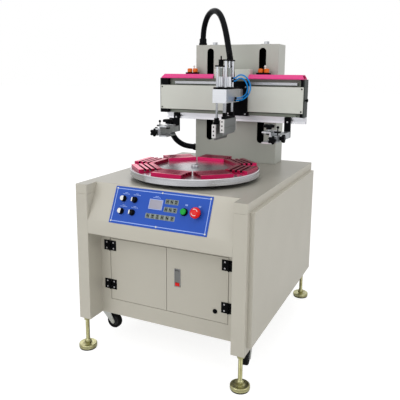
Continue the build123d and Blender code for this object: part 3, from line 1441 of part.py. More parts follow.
save("carriage_plate", *carriage_plate())
save("head_block", *head_block())
save("head_top", *head_top())
save("air_tube", tube_path(TUBE_ROUTE, TUBE_R))
save("squeegee_slide", *slide_unit(UNIT_X[0], 0))
save("squeegee_holder", *blade_holder(UNIT_X[0], 0, BLADE_T))
save("flood_slide", *slide_unit(UNIT_X[1], UNIT_LIFT))
save("flood_holder", *blade_holder(UNIT_X[1], UNIT_LIFT, SHEET))

for clamp_name, clamp_side in (("left", -1), ("right", 1)):
    save(f"clamp_{clamp_name}", clamp_arm(clamp_side), *clamp_frame(clamp_side))
    save(f"clamp_{clamp_name}_screw", clamp_press(clamp_side))

save("door_left", *door(-1))
save("door_right", *door(1))
save("latch_handle", latch_handle())
save("latch_button", latch_button())

save("start_button", start_button())
save("stop_button", stop_button())
for row, dial_up in enumerate(DIAL_UP):
    for column, dial_x in enumerate(DIAL_X):
        save(f"dial_{2 * row + column + 1}", dial(dial_x, dial_up))

for foot_name, (foot_x, foot_y) in foot_places().items():
    save(f"foot_{foot_name}", *levelling_foot(foot_x, foot_y))

for caster_name, (caster_x, caster_y, caster_turn) in caster_places().items():
    if caster_name.startswith("front"):
        save(f"caster_fork_{caster_name}", caster_fork(caster_x, caster_y, caster_turn, False))
    save(f"caster_wheel_{caster_name}", caster_wheel(caster_x, caster_y, caster_turn))
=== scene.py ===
"""Flatbed screen printing machine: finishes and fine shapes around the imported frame.

Metres, in the frame's own axes: X to the right, Y to the back, Z up, the floor at Z = 0. Measures
of shapes are given in millimetres, and a depth is counted back from the posts' front faces.
"""

import json
import math

import bmesh
import bpy
import numpy as np
from mathutils import Matrix, Vector


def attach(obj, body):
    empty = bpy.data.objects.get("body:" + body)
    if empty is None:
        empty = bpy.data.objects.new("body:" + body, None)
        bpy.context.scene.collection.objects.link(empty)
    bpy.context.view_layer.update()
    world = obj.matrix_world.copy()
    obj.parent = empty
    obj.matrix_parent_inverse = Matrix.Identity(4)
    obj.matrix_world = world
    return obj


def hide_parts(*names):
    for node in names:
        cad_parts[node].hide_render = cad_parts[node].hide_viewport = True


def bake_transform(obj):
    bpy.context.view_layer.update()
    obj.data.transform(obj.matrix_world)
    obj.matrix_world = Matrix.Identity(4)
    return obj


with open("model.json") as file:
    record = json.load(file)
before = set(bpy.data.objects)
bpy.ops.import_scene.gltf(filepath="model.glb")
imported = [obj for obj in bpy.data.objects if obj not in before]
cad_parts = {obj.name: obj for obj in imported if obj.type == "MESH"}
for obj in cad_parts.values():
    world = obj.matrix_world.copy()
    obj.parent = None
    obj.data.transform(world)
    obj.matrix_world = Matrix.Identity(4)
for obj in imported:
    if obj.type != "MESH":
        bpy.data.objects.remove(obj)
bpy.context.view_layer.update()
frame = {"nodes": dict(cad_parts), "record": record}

MM = 0.001
TAU = math.tau
FRONT = -0.454  # the front faces of the posts, in metres

# Places on the machine, in millimetres
COLUMN_TOP = 1237.5
COLUMN_LID = 1234.8  # just under the lid's lower face
DISC_DEPTH = 328.5  # the turntable's axis
DISC_RADIUS = 263
BLADE_DEPTH = 516  # the middle of the squeegee and of the flood bar
CLAMP_DEPTH = 545  # the clamps' pressing screws
FOOT_X, FOOT_Y = 330, 433.5  # the feet, from the frame's middle

# The camera, fitted to the photo: degrees, metres and pixels
VIEW_TURN = (24.90, 10.446, 0.507)  # yaw, pitch and roll
VIEW_PLACE = (0.89165, -1.9964, 1.10291)
VIEW_FOCAL, VIEW_WIDTH, VIEW_SHIFT = 513.15, 400, -0.08

# Lamps: name, place, size and power, all of them turned to one place
LAMPS = (
    ("front_lamp", (-1.3, -3.4, 2.4), 2.6, 42.0),
    ("right_lamp", (3.4, -1.0, 2.0), 2.6, 24.0),
    ("top_lamp", (0.3, -0.6, 4.0), 3.2, 29.0),
    ("back_lamp", (-2.4, 2.6, 2.6), 2.4, 22.0),
)
LAMP_TARGET = (0.0, 0.0, 0.7)
SKY_LIGHT = 0.55  # the world's strength for all but the rays that show it white
FLOOR_GLOW, FLOOR_GLOW_SHARE = 1.35, 0.6


def at(x, depth, z):
    """A place in metres from millimetres: X, depth behind the posts' front faces, height."""
    return np.array([x * MM, FRONT + depth * MM, z * MM])


# Colours and shader groups

COLOUR, NUMBER, TRIPLE = "NodeSocketColor", "NodeSocketFloat", "NodeSocketVector"
GREY = (0.5, 0.5, 0.5, 1)


def srgb(display):
    """A linear colour from three display values up to 255."""
    part = np.array(display) / 255.0
    linear = np.where(part <= 0.04045, part / 12.92, ((part + 0.055) / 1.055) ** 2.4)
    return (*linear.tolist(), 1.0)


def link(tree, source, target):
    """A link from one socket to another."""
    tree.links.new(source, target)


def node(tree, kind, **values):
    """A shader node, its kind named without ShaderNode, its attributes and inputs set by name."""
    made = tree.nodes.new("ShaderNode" + kind)
    for name, value in values.items():
        if hasattr(made, name) and name not in made.inputs:
            setattr(made, name, value)
        else:
            made.inputs[name].default_value = value
    return made


def clouds_and_grain(tree, given, place):
    """Soft clouds of tone, with a finer grain for the height."""
    clouds = node(tree, "TexNoise", Detail=4.0)
    grain = node(tree, "TexNoise", Detail=2.0)
    for noise, scale in ((clouds, "Cloud Scale"), (grain, "Grain Scale")):
        link(tree, place, noise.inputs["Vector"])
        link(tree, given[scale], noise.inputs["Scale"])
    return clouds.outputs["Fac"], grain.outputs["Fac"]


def tool_strokes(tree, given, place):
    """Fine parallel tool marks: noise stretched along one axis by a mapping's scale."""
    mapping = node(tree, "Mapping")
    link(tree, place, mapping.inputs["Vector"])
    link(tree, given["Stretch"], mapping.inputs["Scale"])
    lines = node(tree, "TexNoise", Scale=1.0, Detail=3.0)
    link(tree, mapping.outputs["Vector"], lines.inputs["Vector"])
    return lines.outputs["Fac"], lines.outputs["Fac"]


def turning_rings(tree, given, place):
    """Turning marks: bands of equal distance round a centre, bent a little by noise."""
    shift = node(tree, "VectorMath", operation="SUBTRACT")
    link(tree, place, shift.inputs[0])
    link(tree, given["Centre"], shift.inputs[1])
    wave = node(tree, "TexWave", wave_type="RINGS", Distortion=2.0, Detail=2.0)
    wave.rings_direction = "Z"
    link(tree, shift.outputs["Vector"], wave.inputs["Vector"])
    link(tree, given["Fineness"], wave.inputs["Scale"])
    return wave.outputs["Fac"], wave.outputs["Fac"]


def finish_group(name, pattern, own):
    """A shader group whose tone, roughness and height follow one pattern.

    own lists the pattern's further inputs. The tone is mixed from Tone A to Tone B by the pattern's
    factor, and the roughness is Rough + Rough Range * factor."""
    tree = bpy.data.node_groups.new(name, "ShaderNodeTree")
    shared = [("Tone A", COLOUR, GREY), ("Tone B", COLOUR, GREY)]
    shared += [("Rough", NUMBER, 0.3), ("Rough Range", NUMBER, 0.1)]
    for label, kind, value in shared + own:
        socket = tree.interface.new_socket(label, in_out="INPUT", socket_type=kind)
        socket.default_value = value
    for label, kind in (("Color", COLOUR), ("Roughness", NUMBER), ("Height", NUMBER)):
        tree.interface.new_socket(label, in_out="OUTPUT", socket_type=kind)
    given = tree.nodes.new("NodeGroupInput").outputs
    result = tree.nodes.new("NodeGroupOutput").inputs
    place = node(tree, "TexCoord").outputs["Object"]
    factor, height = pattern(tree, given, place)
    tone = node(tree, "Mix", data_type="RGBA")
    link(tree, factor, tone.inputs["Factor"])
    link(tree, given["Tone A"], tone.inputs[6])
    link(tree, given["Tone B"], tone.inputs[7])
    link(tree, tone.outputs[2], result["Color"])
    rough = node(tree, "Math", operation="MULTIPLY_ADD")
    for index, source in enumerate((factor, given["Rough Range"], given["Rough"])):
        link(tree, source, rough.inputs[index])
    link(tree, rough.outputs[0], result["Roughness"])
    link(tree, height, result["Height"])
    return tree


SCALES = [("Cloud Scale", NUMBER, 6.0), ("Grain Scale", NUMBER, 900.0)]
TURNING = [("Centre", TRIPLE, (0.0, 0.0, 0.0)), ("Fineness", NUMBER, 90.0)]
MOTTLE = finish_group("mottle", clouds_and_grain, SCALES)
STROKES = finish_group("strokes", tool_strokes, [("Stretch", TRIPLE, (1.0, 1.0, 1.0))])
RINGS = finish_group("turning_rings", turning_rings, TURNING)


def finish_material(name, effect_group, settings, bump, bump_height, surface):
    """A material from one of the three groups, with its own values and a bump of its height."""
    made = bpy.data.materials.new(name)
    made.use_nodes = True
    tree = made.node_tree
    shader = tree.nodes["Principled BSDF"]
    for socket, value in surface.items():
        shader.inputs[socket].default_value = value
    effect = node(tree, "Group", node_tree=effect_group, **settings)
    link(tree, effect.outputs["Color"], shader.inputs["Base Color"])
    link(tree, effect.outputs["Roughness"], shader.inputs["Roughness"])
    if bump:
        relief = node(tree, "Bump", Strength=bump, Distance=bump_height)
        link(tree, effect.outputs["Height"], relief.inputs["Height"])
        link(tree, relief.outputs["Normal"], shader.inputs["Normal"])
    return made


def tones(tone_a, tone_b, rough, spread):
    """The settings that all three groups share."""
    return {"Tone A": srgb(tone_a), "Tone B": srgb(tone_b), "Rough": rough, "Rough Range": spread}


def paint(name, tone_a, tone_b, rough, specular=0.5, grain=700, bump=0.12, coat=0.0):
    """Powder coat or moulded plastic: soft clouds of tone with a fine orange peel."""
    settings = {**tones(tone_a, tone_b, rough, 0.08), "Cloud Scale": 5.0, "Grain Scale": grain}
    surface = {"Coat Weight": coat, "Coat Roughness": 0.15, "Specular IOR Level": specular}
    return finish_material(name, MOTTLE, settings, bump, 0.4 * MM, surface)


def metal(name, tone_a, tone_b, stretch, rough, spread=0.18, metallic=1.0, bump=0.08):
    """Metal with tool marks that run along the axis whose stretch is small."""
    settings = {**tones(tone_a, tone_b, rough, spread), "Stretch": stretch}
    return finish_material(name, STROKES, settings, bump, 0.2 * MM, {"Metallic": metallic})


def faced_metal(name, tone_a, tone_b, centre):
    """Metal faced on a lathe round a centre."""
    settings = {**tones(tone_a, tone_b, 0.24, 0.1), "Centre": centre, "Fineness": 90.0}
    return finish_material(name, RINGS, settings, 0.05, 0.2 * MM, {"Metallic": 1.0})


# Stretches of tool marks, long where the number is small, and of even grains. On rods and barrels
# the streaks along Z are partly tool marks and partly painted reflection bands.
ALONG_X, FINE_X, SATIN_X = (9, 900, 900), (8, 500, 500), (12, 600, 600)
ALONG_Y, HOLDER_Y, ROUND_Z = (900, 14, 900), (600, 10, 600), (3, 3, 260)
BARREL_Z, ROD_Z, RIBS_Z = (260, 260, 6), (400, 400, 8), (500, 500, 12)
SPANGLE, SPECKLE, BLOTCH, GRIT = (60,) * 3, (40,) * 3, (30,) * 3, (300,) * 3

# A paint's numbers are its roughness and specular level, a metal's its roughness and their spread
LOOK = {
    # Sheet metal and enamel
    "cream": paint("cream_powder_coat", (192, 188, 175), (184, 180, 168), 0.34),
    # The table's darker tone is a painted shade on its top face; the smoother coat is the table's
    # own
    "cream_top_painted_shade": paint("cream_table_painted_shade", (166, 163, 153), (158, 155, 145), 0.3, 0.14, bump=0.04),
    "column_cream": paint("cream_column_coat", (180, 182, 173), (172, 174, 166), 0.34),
    "beam_cream": paint("cream_cover_coat", (212, 214, 205), (205, 207, 198), 0.38),
    # Painted shade: near-black for the unlit insides of the column, the disc's underside and the
    # arms' ends in the column
    "inside": paint("unlit_inside", (7, 8, 10), (5, 5, 7), 0.8, 0.02),
    "pink": paint("pink_powder_coat", (232, 58, 138), (222, 50, 130), 0.34, 0.4),
    "grey_paint": paint("grey_enamel", (120, 121, 120), (106, 107, 106), 0.5),
    "channel": paint("grey_green_coat", (140, 146, 135), (128, 134, 123), 0.45, 0.2),
    "end_plate": paint("dark_olive_coat", (50, 57, 54), (42, 48, 46), 0.4, 0.15),
    "casting": paint("grey_casting", (84, 88, 92), (70, 74, 78), 0.6, grain=260, bump=0.35),
    "black": paint("black_oxide", (8, 9, 12), (5, 6, 8), 0.45, 0.04, grain=500),
    # The control plate's film and print
    "blue": paint("blue_film", (38, 86, 186), (30, 76, 174), 0.5, 0.25, bump=0.05),
    "ink": paint("pale_blue_ink", (166, 190, 244), (156, 180, 238), 0.5, 0.2, bump=0),
    "key_field": paint("key_field_grey", (148, 158, 153), (138, 148, 144), 0.5, 0.2, bump=0),
    "screen": paint("display_window", (164, 162, 176), (154, 152, 168), 0.3, 0.3, bump=0),
    "key": paint("key_pad_grey", (116, 126, 122), (104, 114, 110), 0.5, 0.2),
    "key_dark": paint("key_legend_dark", (14, 18, 20), (10, 13, 15), 0.5, 0.1),
    # Plastics and rubber
    "moulded": paint("black_moulding", (8, 9, 12), (5, 6, 8), 0.3, 0.05, grain=1200),
    "hose": paint("black_hose", (6, 8, 12), (4, 5, 9), 0.3, 0.06, grain=1500, bump=0.05),
    "rubber": paint("black_rubber", (15, 15, 16), (10, 10, 11), 0.7, 0.14, grain=900, bump=0.2),
    "orange": paint("orange_knob", (230, 118, 12), (212, 98, 8), 0.32, 0.25, coat=0.1),
    "green": paint("green_button", (8, 168, 58), (6, 150, 50), 0.35, 0.2),
    "red": paint("red_button", (226, 20, 14), (212, 14, 10), 0.3, 0.25),
    "white": paint("white_moulding", (232, 232, 230), (222, 222, 220), 0.38),
    "tube": paint("blue_air_tube", (0, 138, 214), (0, 122, 200), 0.25, 0.2, bump=0.02),
    "wheel_hub": paint("dark_wheel_hub", (48, 48, 50), (38, 38, 40), 0.45, 0.3),
    # Metals
    "aluminium": metal("milled_aluminium", (210, 212, 216), (190, 193, 198), ALONG_X, 0.34),
    "aluminium_pale": metal("satin_aluminium", (236, 236, 240), (216, 217, 222), SATIN_X, 0.38),
    "plate": metal("ribbed_grey_plate", (150, 151, 153), (128, 129, 131), RIBS_Z, 0.42),
    # Chrome rods, barrels and necks: tone streaks along Z, partly tool marks and partly painted
    # reflection bands on the round faces
    "chrome": metal("chromed_rod", (222, 224, 229), (150, 153, 160), ROD_Z, 0.1, 0.08, bump=0.02),
    "barrel": metal("drawn_barrel", (232, 234, 238), (178, 181, 187), BARREL_Z, 0.26),
    "neck": metal("dark_barrel", (158, 163, 160), (78, 83, 82), BARREL_Z, 0.14, 0.1),
    "steel": metal("ground_steel", (176, 177, 180), (150, 152, 156), FINE_X, 0.28),
    "screw": metal("screw_steel", (206, 206, 208), (180, 180, 184), GRIT, 0.3),
    "zinc": metal("white_zinc", (206, 208, 206), (176, 179, 179), SPANGLE, 0.36),
    "gold_zinc": metal("yellow_zinc", (200, 200, 158), (122, 112, 70), SPECKLE, 0.18, 0.25),
    "pink_anodised": metal("pink_anodised", (208, 46, 98), (168, 24, 70), ALONG_Y, 0.2),
    # Groove sides and bottoms: darker copies of the pink anodising, a painted shade in the blocks'
    # grooves
    "groove_wall_painted_shade": metal("pink_groove_wall_painted_shade", (104, 14, 42), (84, 10, 34), ALONG_Y, 0.34),
    "pink_groove": metal("pink_groove_floor_painted_shade", (58, 6, 20), (40, 4, 14), ALONG_Y, 0.4, metallic=0.6),
    "grey_holder": metal("grey_holder", (172, 175, 174), (146, 149, 149), HOLDER_Y, 0.34),
    "clamp_grey": metal("grey_clamp", (226, 229, 232), (150, 154, 158), BLOTCH, 0.24, 0.3),
    "disc": faced_metal("faced_disc", (164, 166, 170), (146, 148, 153), at(0, DISC_DEPTH, 0)),
    "disc_rim": metal("turned_rim", (226, 226, 229), (158, 159, 163), ROUND_Z, 0.2, 0.12),
}


# Surfaces: each is a pair of points in metres and faces

CORNER_POINTS = 5
MITRE_LIMIT = 0.3


def wrap_grid(points, capped=True):
    """A surface from a grid of points, rows along one parameter and columns round the other.

    Each quad joins two neighbouring rows and columns, and the last column is joined to the first.
    Where it is capped, one flat face closes each end row."""
    rows, cols = points.shape[:2]
    row, col = np.meshgrid(np.arange(rows - 1), np.arange(cols), indexing="ij")
    after = (col + 1) % cols
    low, high = row * cols, (row + 1) * cols
    quads = np.stack([low + col, low + after, high + after, high + col], axis=-1)
    faces = quads.reshape(-1, 4).tolist()
    if capped:
        faces.append(list(range(cols))[::-1])
        faces.append(list(range((rows - 1) * cols, rows * cols)))
    return points.reshape(-1, 3), faces


def turned(profile, count, lobes=None, share=(), capped=True):
    """A surface of revolution: radius and height pairs in millimetres, carried round Z.

    With lobes, the radius is r*(1 + s*(f(a) - 1)), a the angle, f the lobes, s the pair's share."""
    outline = np.array(profile, float) * MM
    angle = np.arange(count) * TAU / count
    radius = np.repeat(outline[:, :1], count, axis=1)
    if lobes is not None:
        radius = radius * (1 + np.array(share, float)[:, None] * (lobes(angle) - 1))
    height = np.repeat(outline[:, 1:], count, axis=1)
    grid = np.stack([radius * np.cos(angle), radius * np.sin(angle), height], axis=-1)
    return wrap_grid(grid, capped)


def pin(radius, low, high):
    """The profile of a plain cylinder between two heights."""
    return [(0, low), (radius, low), (radius, high), (0, high)]


def ridges(count, depth, power=1):
    """Lobes for a grip: 1 - depth*(half a wave of the angle, raised to a power that narrows it)."""
    return lambda angle: 1 - depth * (0.5 + 0.5 * np.cos(count * angle)) ** power


def hexagon(angle):
    """Lobes for a nut: cos(30 degrees) over the cosine of the angle from the middle of the flat."""
    sixth = math.pi / 6
    return math.cos(sixth) / np.cos((angle + sixth) % (2 * sixth) - sixth)


def star_lobes(angle):
    """Five lobes: a wave of the angle that tanh flattens at its ends, between 0.72 and 1."""
    return 0.86 + 0.14 * np.tanh(2.2 * np.cos(5 * angle)) / math.tanh(2.2)


def on_circle(radius, angle):
    """Points at angles round a circle in a plane."""
    return radius * np.stack([np.cos(angle), np.sin(angle)], axis=-1)


def rounded_rectangle(width, depth, corner):
    """Outline of a rectangle with quarter circles at its corners, anticlockwise, centred."""
    quarter = np.linspace(0, math.pi / 2, CORNER_POINTS)
    ring = []
    for turn, (sx, sy) in enumerate(((1, 1), (-1, 1), (-1, -1), (1, -1))):
        centre = np.array([sx * (width / 2 - corner), sy * (depth / 2 - corner)])
        ring.append(centre + on_circle(corner, quarter + turn * math.pi / 2))
    return np.concatenate(ring)


def inset(outline, amount):
    """The outline moved inwards by an amount, along the mitre of each corner."""
    side = np.roll(outline, -1, axis=0) - outline
    side /= np.linalg.norm(side, axis=1, keepdims=True)
    after = np.stack([-side[:, 1], side[:, 0]], axis=-1)
    before = np.roll(after, 1, axis=0)
    mitre = before + after
    mitre /= np.maximum(np.sum(mitre * before, axis=1, keepdims=True), MITRE_LIMIT)
    return outline + amount * mitre


def slab(outline, low, high, edge, steps=3):
    """A plate of that outline whose rims are quarter rounds of the edge radius, in millimetres.

    Ring k lies edge*(1 - sin a) inside the outline, at height edge*(1 - cos a) from the face, a
    from 0 to 90 degrees."""
    angle = np.linspace(0, math.pi / 2, steps + 1)
    back, rise = edge * (1 - np.sin(angle)), edge * (1 - np.cos(angle))
    rings = [*zip(back, low + rise), *zip(back[::-1], high - rise[::-1])]
    grid = [np.column_stack([inset(outline, gap), np.full(len(outline), z)]) for gap, z in rings]
    return wrap_grid(np.array(grid) * MM)


def carried(section, path):
    """A section carried along a path, both in metres, without twist.

    Each frame is the last one turned by the least amount. A section per point may be given."""
    path = np.array(path, float)
    step = np.gradient(path, axis=0)
    step /= np.linalg.norm(step, axis=1, keepdims=True)
    side = np.cross(step[0], [0.0, 0.0, 1.0])
    if np.linalg.norm(side) < 1e-3:
        side = np.cross(step[0], [0.0, 1.0, 0.0])
    rows = []
    for k, (point, along) in enumerate(zip(path, step)):
        side = side - along * np.dot(side, along)
        side /= np.linalg.norm(side)
        up = np.cross(along, side)
        ring = section[k] if section.ndim == 3 else section
        rows.append(point + ring[:, :1] * side + ring[:, 1:] * up)
    return wrap_grid(np.array(rows))


def placed(shape, origin, axis=(0, 0, 1)):
    """A shape moved so that its Z runs along an axis from an origin, its X as near X as it can."""
    points, faces = shape
    up = np.array(axis, float) / np.linalg.norm(axis)
    right = np.array((1.0, 0.0, 0.0) if abs(up[0]) < 0.9 else (0.0, 1.0, 0.0))
    right = right - up * np.dot(right, up)
    right /= np.linalg.norm(right)
    turn = np.stack([right, np.cross(up, right), up])
    return points @ turn + np.array(origin), faces


def shifted(shape, x, y):
    """A shape moved in its own plane by millimetres."""
    return shape[0] + [x * MM, y * MM, 0], shape[1]


def screw_head(radius, height):
    """A domed screw head with a round socket sunk in it."""
    dome = [(0, 0), (radius, 0), (radius, 0.35 * height), (0.8 * radius, 0.85 * height)]
    socket = [(0.5 * radius, height), (0.5 * radius, 0.35 * height), (0, 0.35 * height)]
    return turned(dome + [(0.55 * radius, height)] + socket, 18)


def front_screw(radius, height, x, depth, z):
    """A screw head that faces the front."""
    return placed(screw_head(radius, height), at(x, depth, z), (0, -1, 0))


# Tests of where a face lies, for the finishes


def zone(**limits):
    """A test of face centres against limits in millimetres, named x_over, depth_under and so on.

    depth is counted back from the posts' fronts, and side is the distance from the middle plane."""

    def inside(centres):
        x, y, z = centres.T
        places = {"x": x, "depth": y - FRONT, "z": z, "side": np.abs(x)}
        tests = []
        for name, limit in limits.items():
            axis, sense = name.split("_")
            beyond = places[axis] - limit * MM
            tests.append(beyond > 0 if sense == "over" else beyond < 0)
        return np.all(tests, axis=0)

    return inside


def either(*tests):
    """A test that passes where one of the tests does."""
    return lambda centres: np.any([test(centres) for test in tests], axis=0)


# Pieces

EDGE_ANGLE = 30  # degrees, from which an edge of a dressed node is sharp and gets rounded
BODIES = frame["record"]["behaviour"]["bodies"]
BODY_OF = {node_name: body for body, names in BODIES.items() for node_name in names}


def finish_faces(work, looks, masks):
    """Gives the faces whose centres pass a mask's test that mask's finish."""
    work.faces.ensure_lookup_table()
    centres = np.array([face.calc_center_median() for face in work.faces])
    for finish, inside in masks:
        if finish not in looks:
            looks.append(finish)
        for index in np.nonzero(inside(centres))[0]:
            work.faces[int(index)].material_index = looks.index(finish)
    return centres


def add_shapes(work, looks, shapes):
    """Adds shapes to a mesh that is being worked on, each with its finish."""
    for look, (points, faces) in shapes:
        if look not in looks:
            looks.append(look)
        added = bpy.data.meshes.new("added")
        added.from_pydata(points.tolist(), [], faces)
        added.polygons.foreach_set("material_index", [looks.index(look)] * len(faces))
        work.from_mesh(added)
        bpy.data.meshes.remove(added)


def add_object(name, data):
    """A new object in the scene."""
    made = bpy.data.objects.new(name, data)
    bpy.context.scene.collection.objects.link(made)
    return made


def belong(made, body, stands_for):
    """Lets an object ride on a body, in place of a CAD node if it stands for one."""
    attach(made, body)
    if stands_for:
        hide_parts(stands_for)


def finished(name, work, looks, angle, body, stands_for):
    """The object that a worked mesh becomes, smooth but for edges sharper than an angle."""
    work.normal_update()
    limit = math.radians(angle)
    for face in work.faces:
        face.smooth = True
    for edge in work.edges:
        edge.smooth = len(edge.link_faces) == 2 and edge.calc_face_angle(0) < limit
    data = bpy.data.meshes.new(name)
    work.to_mesh(data)
    work.free()
    for look in looks:
        data.materials.append(LOOK[look])
    made = add_object(name, data)
    belong(made, body, stands_for)
    return made


def piece(name, body, shapes, stands_for=None, smooth=32, masks=()):
    """One object from several shapes, each with its finish. masks are the same as for dressed."""
    work, looks = bmesh.new(), []
    add_shapes(work, looks, shapes)
    bmesh.ops.remove_doubles(work, verts=work.verts, dist=1e-6)
    bmesh.ops.recalc_face_normals(work, faces=work.faces)
    finish_faces(work, looks, masks)
    return finished(name, work, looks, smooth, body, stands_for)


def dressed(name, look, edge, masks=(), drop=None, extra=()):
    """A CAD node's own shape with its edges rounded and its finishes set by where each face lies.

    edge is the rounding in millimetres. masks are pairs of a finish and a test of the face centres.
    drop is such a test for faces that extra shapes stand for."""
    work = bmesh.new()
    work.from_mesh(frame["nodes"][name].data)
    bmesh.ops.remove_doubles(work, verts=work.verts, dist=2e-6)
    flat = math.radians(0.6)
    bmesh.ops.dissolve_limit(work, angle_limit=flat, verts=work.verts, edges=work.edges)
    looks = [look]
    centres = finish_faces(work, looks, masks)
    if drop is not None:
        gone = [work.faces[int(index)] for index in np.nonzero(drop(centres))[0]]
        bmesh.ops.delete(work, geom=gone, context="FACES")
    add_shapes(work, looks, extra)
    made = finished(name + "_finished", work, looks, EDGE_ANGLE, BODY_OF[name], name)
    rim = made.modifiers.new("edge", "BEVEL")
    rim.width = edge * MM
    rim.segments = 2
    rim.limit_method = "ANGLE"
    rim.angle_limit = math.radians(EDGE_ANGLE)
    rim.harden_normals = True
    return made


# Camera, light and floor


def camera():
    """The camera at the photographed angle."""
    yaw, pitch, roll = (math.radians(a) for a in VIEW_TURN)
    level = np.array([-math.sin(yaw), math.cos(yaw), 0.0]) * math.cos(pitch)
    ahead = level + [0.0, 0.0, -math.sin(pitch)]
    right = np.array([math.cos(yaw), math.sin(yaw), 0.0])
    up = np.cross(right, ahead)
    side = math.cos(roll) * right + math.sin(roll) * up
    up = -math.sin(roll) * right + math.cos(roll) * up
    lens = bpy.data.cameras.new("view")
    lens.lens = VIEW_FOCAL / VIEW_WIDTH * lens.sensor_width
    lens.shift_y = VIEW_SHIFT
    lens.clip_end = 40.0
    made = add_object("view", lens)
    turn = Matrix((side, up, -ahead)).transposed().to_4x4()
    made.matrix_world = Matrix.Translation(VIEW_PLACE) @ turn
    bpy.context.scene.camera = made


def lamps():
    """Soft area lamps round the machine."""
    for name, spot, size, power in LAMPS:
        lamp = bpy.data.lights.new(name, "AREA")
        lamp.size = size
        lamp.energy = power
        stand = add_object(name, lamp)
        stand.location = spot
        away = Vector(np.array(spot) - LAMP_TARGET)
        stand.rotation_euler = away.to_track_quat("Z", "Y").to_euler()


def white_world():
    """A world that is white where it is seen, mirrored or seen through, and dimmer as a light."""
    world = bpy.data.worlds.new("studio")
    bpy.context.scene.world = world
    world.use_nodes = True
    tree = world.node_tree
    sky = tree.nodes["Background"]
    rays = node(tree, "LightPath")
    seen = rays.outputs["Is Camera Ray"]
    for kind in ("Is Glossy Ray", "Is Transmission Ray"):
        more = node(tree, "Math", operation="MAXIMUM")
        link(tree, seen, more.inputs[0])
        link(tree, rays.outputs[kind], more.inputs[1])
        seen = more.outputs[0]
    level = node(tree, "MapRange")
    level.inputs["To Min"].default_value = SKY_LIGHT
    link(tree, seen, level.inputs["Value"])
    link(tree, level.outputs["Result"], sky.inputs["Strength"])
    sky.inputs["Color"].default_value = (1, 1, 1, 1)


def pale_floor():
    """A pale floor that glows a little to the camera, so that it runs into the white behind it."""
    data = bpy.data.meshes.new("floor")
    corners = [(-30, -30, 0), (30, -30, 0), (30, 30, 0), (-30, 30, 0)]
    data.from_pydata(corners, [], [(0, 1, 2, 3)])
    floor = add_object("floor", data)
    pale = bpy.data.materials.new("pale_floor")
    pale.use_nodes = True
    tree = pale.node_tree
    shader = tree.nodes["Principled BSDF"]
    shader.inputs["Base Color"].default_value = (0.92, 0.92, 0.92, 1)
    shader.inputs["Roughness"].default_value = 0.9
    glow = node(tree, "Emission", Strength=FLOOR_GLOW)
    rays = node(tree, "LightPath")
    share = node(tree, "Math", operation="MULTIPLY")
    share.inputs[1].default_value = FLOOR_GLOW_SHARE
    link(tree, rays.outputs["Is Camera Ray"], share.inputs[0])
    mix = node(tree, "MixShader")
    for index, source in enumerate((share, shader, glow)):
        link(tree, source.outputs[0], mix.inputs[index])
    link(tree, mix.outputs[0], tree.nodes["Material Output"].inputs["Surface"])
    data.materials.append(pale)


# Hoses

HOSE_STEP = 1.5 * MM  # between the rings of a hose's mesh
TOP_HOSE_RADIUS, SIDE_HOSE_RADIUS, TUBE_RADIUS = 13.5 * MM, 14 * MM, 3 * MM
OVER_BEAM = (-76, 705, 1387)  # where the top hose's two lengths meet
INNER_PORTS = ((80.4, 522, 1072), (82, 558, 999))  # of the inner air loop
TOP_ROUTE = (
    (-185, 800, COLUMN_TOP), (-185, 800, 1284), (-174.5, 791, 1331), (-150.5, 770, 1369),
    (-115, 739, 1389), OVER_BEAM, (-42, 675, 1364), (-16.5, 652.5, 1325), (3, 636, 1278),
    (18.5, 622, 1228), (32, 610.5, 1181), (43.5, 601, 1136), (50, 595, 1091), (50, 595, 1046),
)
SIDE_ROUTE = (
    (-207, 815, 732), (-250, 815, 732), (-293, 808, 738), (-328, 794, 762), (-346, 778, 800),
    (-343, 765, 840), (-335, 759, 874), (-335, 759, 906),
)
LOOP_ROUTE = (
    (88, 516, 1084), (97, 516, 1084), (112, 518, 1099), (135, 523, 1097), (156, 528, 1073),
    (161, 534, 1041), (148, 541, 1012), (121, 548, 994), (100, 553, 989), (88, 553, 989),
)
INNER_LOOP_ROUTE = (
    (88, 522, 1072), (97, 522, 1072), (110, 524, 1085), (128, 528, 1083), (143, 532, 1064),
    (147, 537, 1041), (138, 544, 1018), (118, 552, 1004), (100, 558, 999), (84, 558, 999),
)


def spline_curve(name, route):
    """A smooth NURBS line whose control points are the route's, in metres."""
    curve = bpy.data.curves.new(name, "CURVE")
    curve.dimensions = "3D"
    curve.resolution_u = 16
    spline = curve.splines.new("NURBS")
    spline.points.add(len(route) - 1)
    for point, place in zip(spline.points, route):
        point.co = (*at(*place), 1.0)
    spline.order_u = 3
    spline.use_endpoint_u = True
    return curve


def line_of(curve):
    """Points read from the curve's own smooth line."""
    holder = add_object("line", curve)
    graph = bpy.context.evaluated_depsgraph_get()
    graph.update()
    read = bpy.data.meshes.new_from_object(holder.evaluated_get(graph))
    points = np.array([vertex.co for vertex in read.vertices])
    bpy.data.objects.remove(holder)
    bpy.data.meshes.remove(read)
    return points


def run_along(points):
    """The distance along a line of points at each of them."""
    return np.concatenate([[0], np.cumsum(np.linalg.norm(np.diff(points, axis=0), axis=1))])


def hose_line(name, route):
    """The route's smooth line with its points a fixed step apart."""
    points = line_of(spline_curve(name, route))
    run = run_along(points)
    places = np.linspace(0, run[-1], int(run[-1] / HOSE_STEP))
    return np.stack([np.interp(places, run, points[:, k]) for k in range(3)], axis=-1)


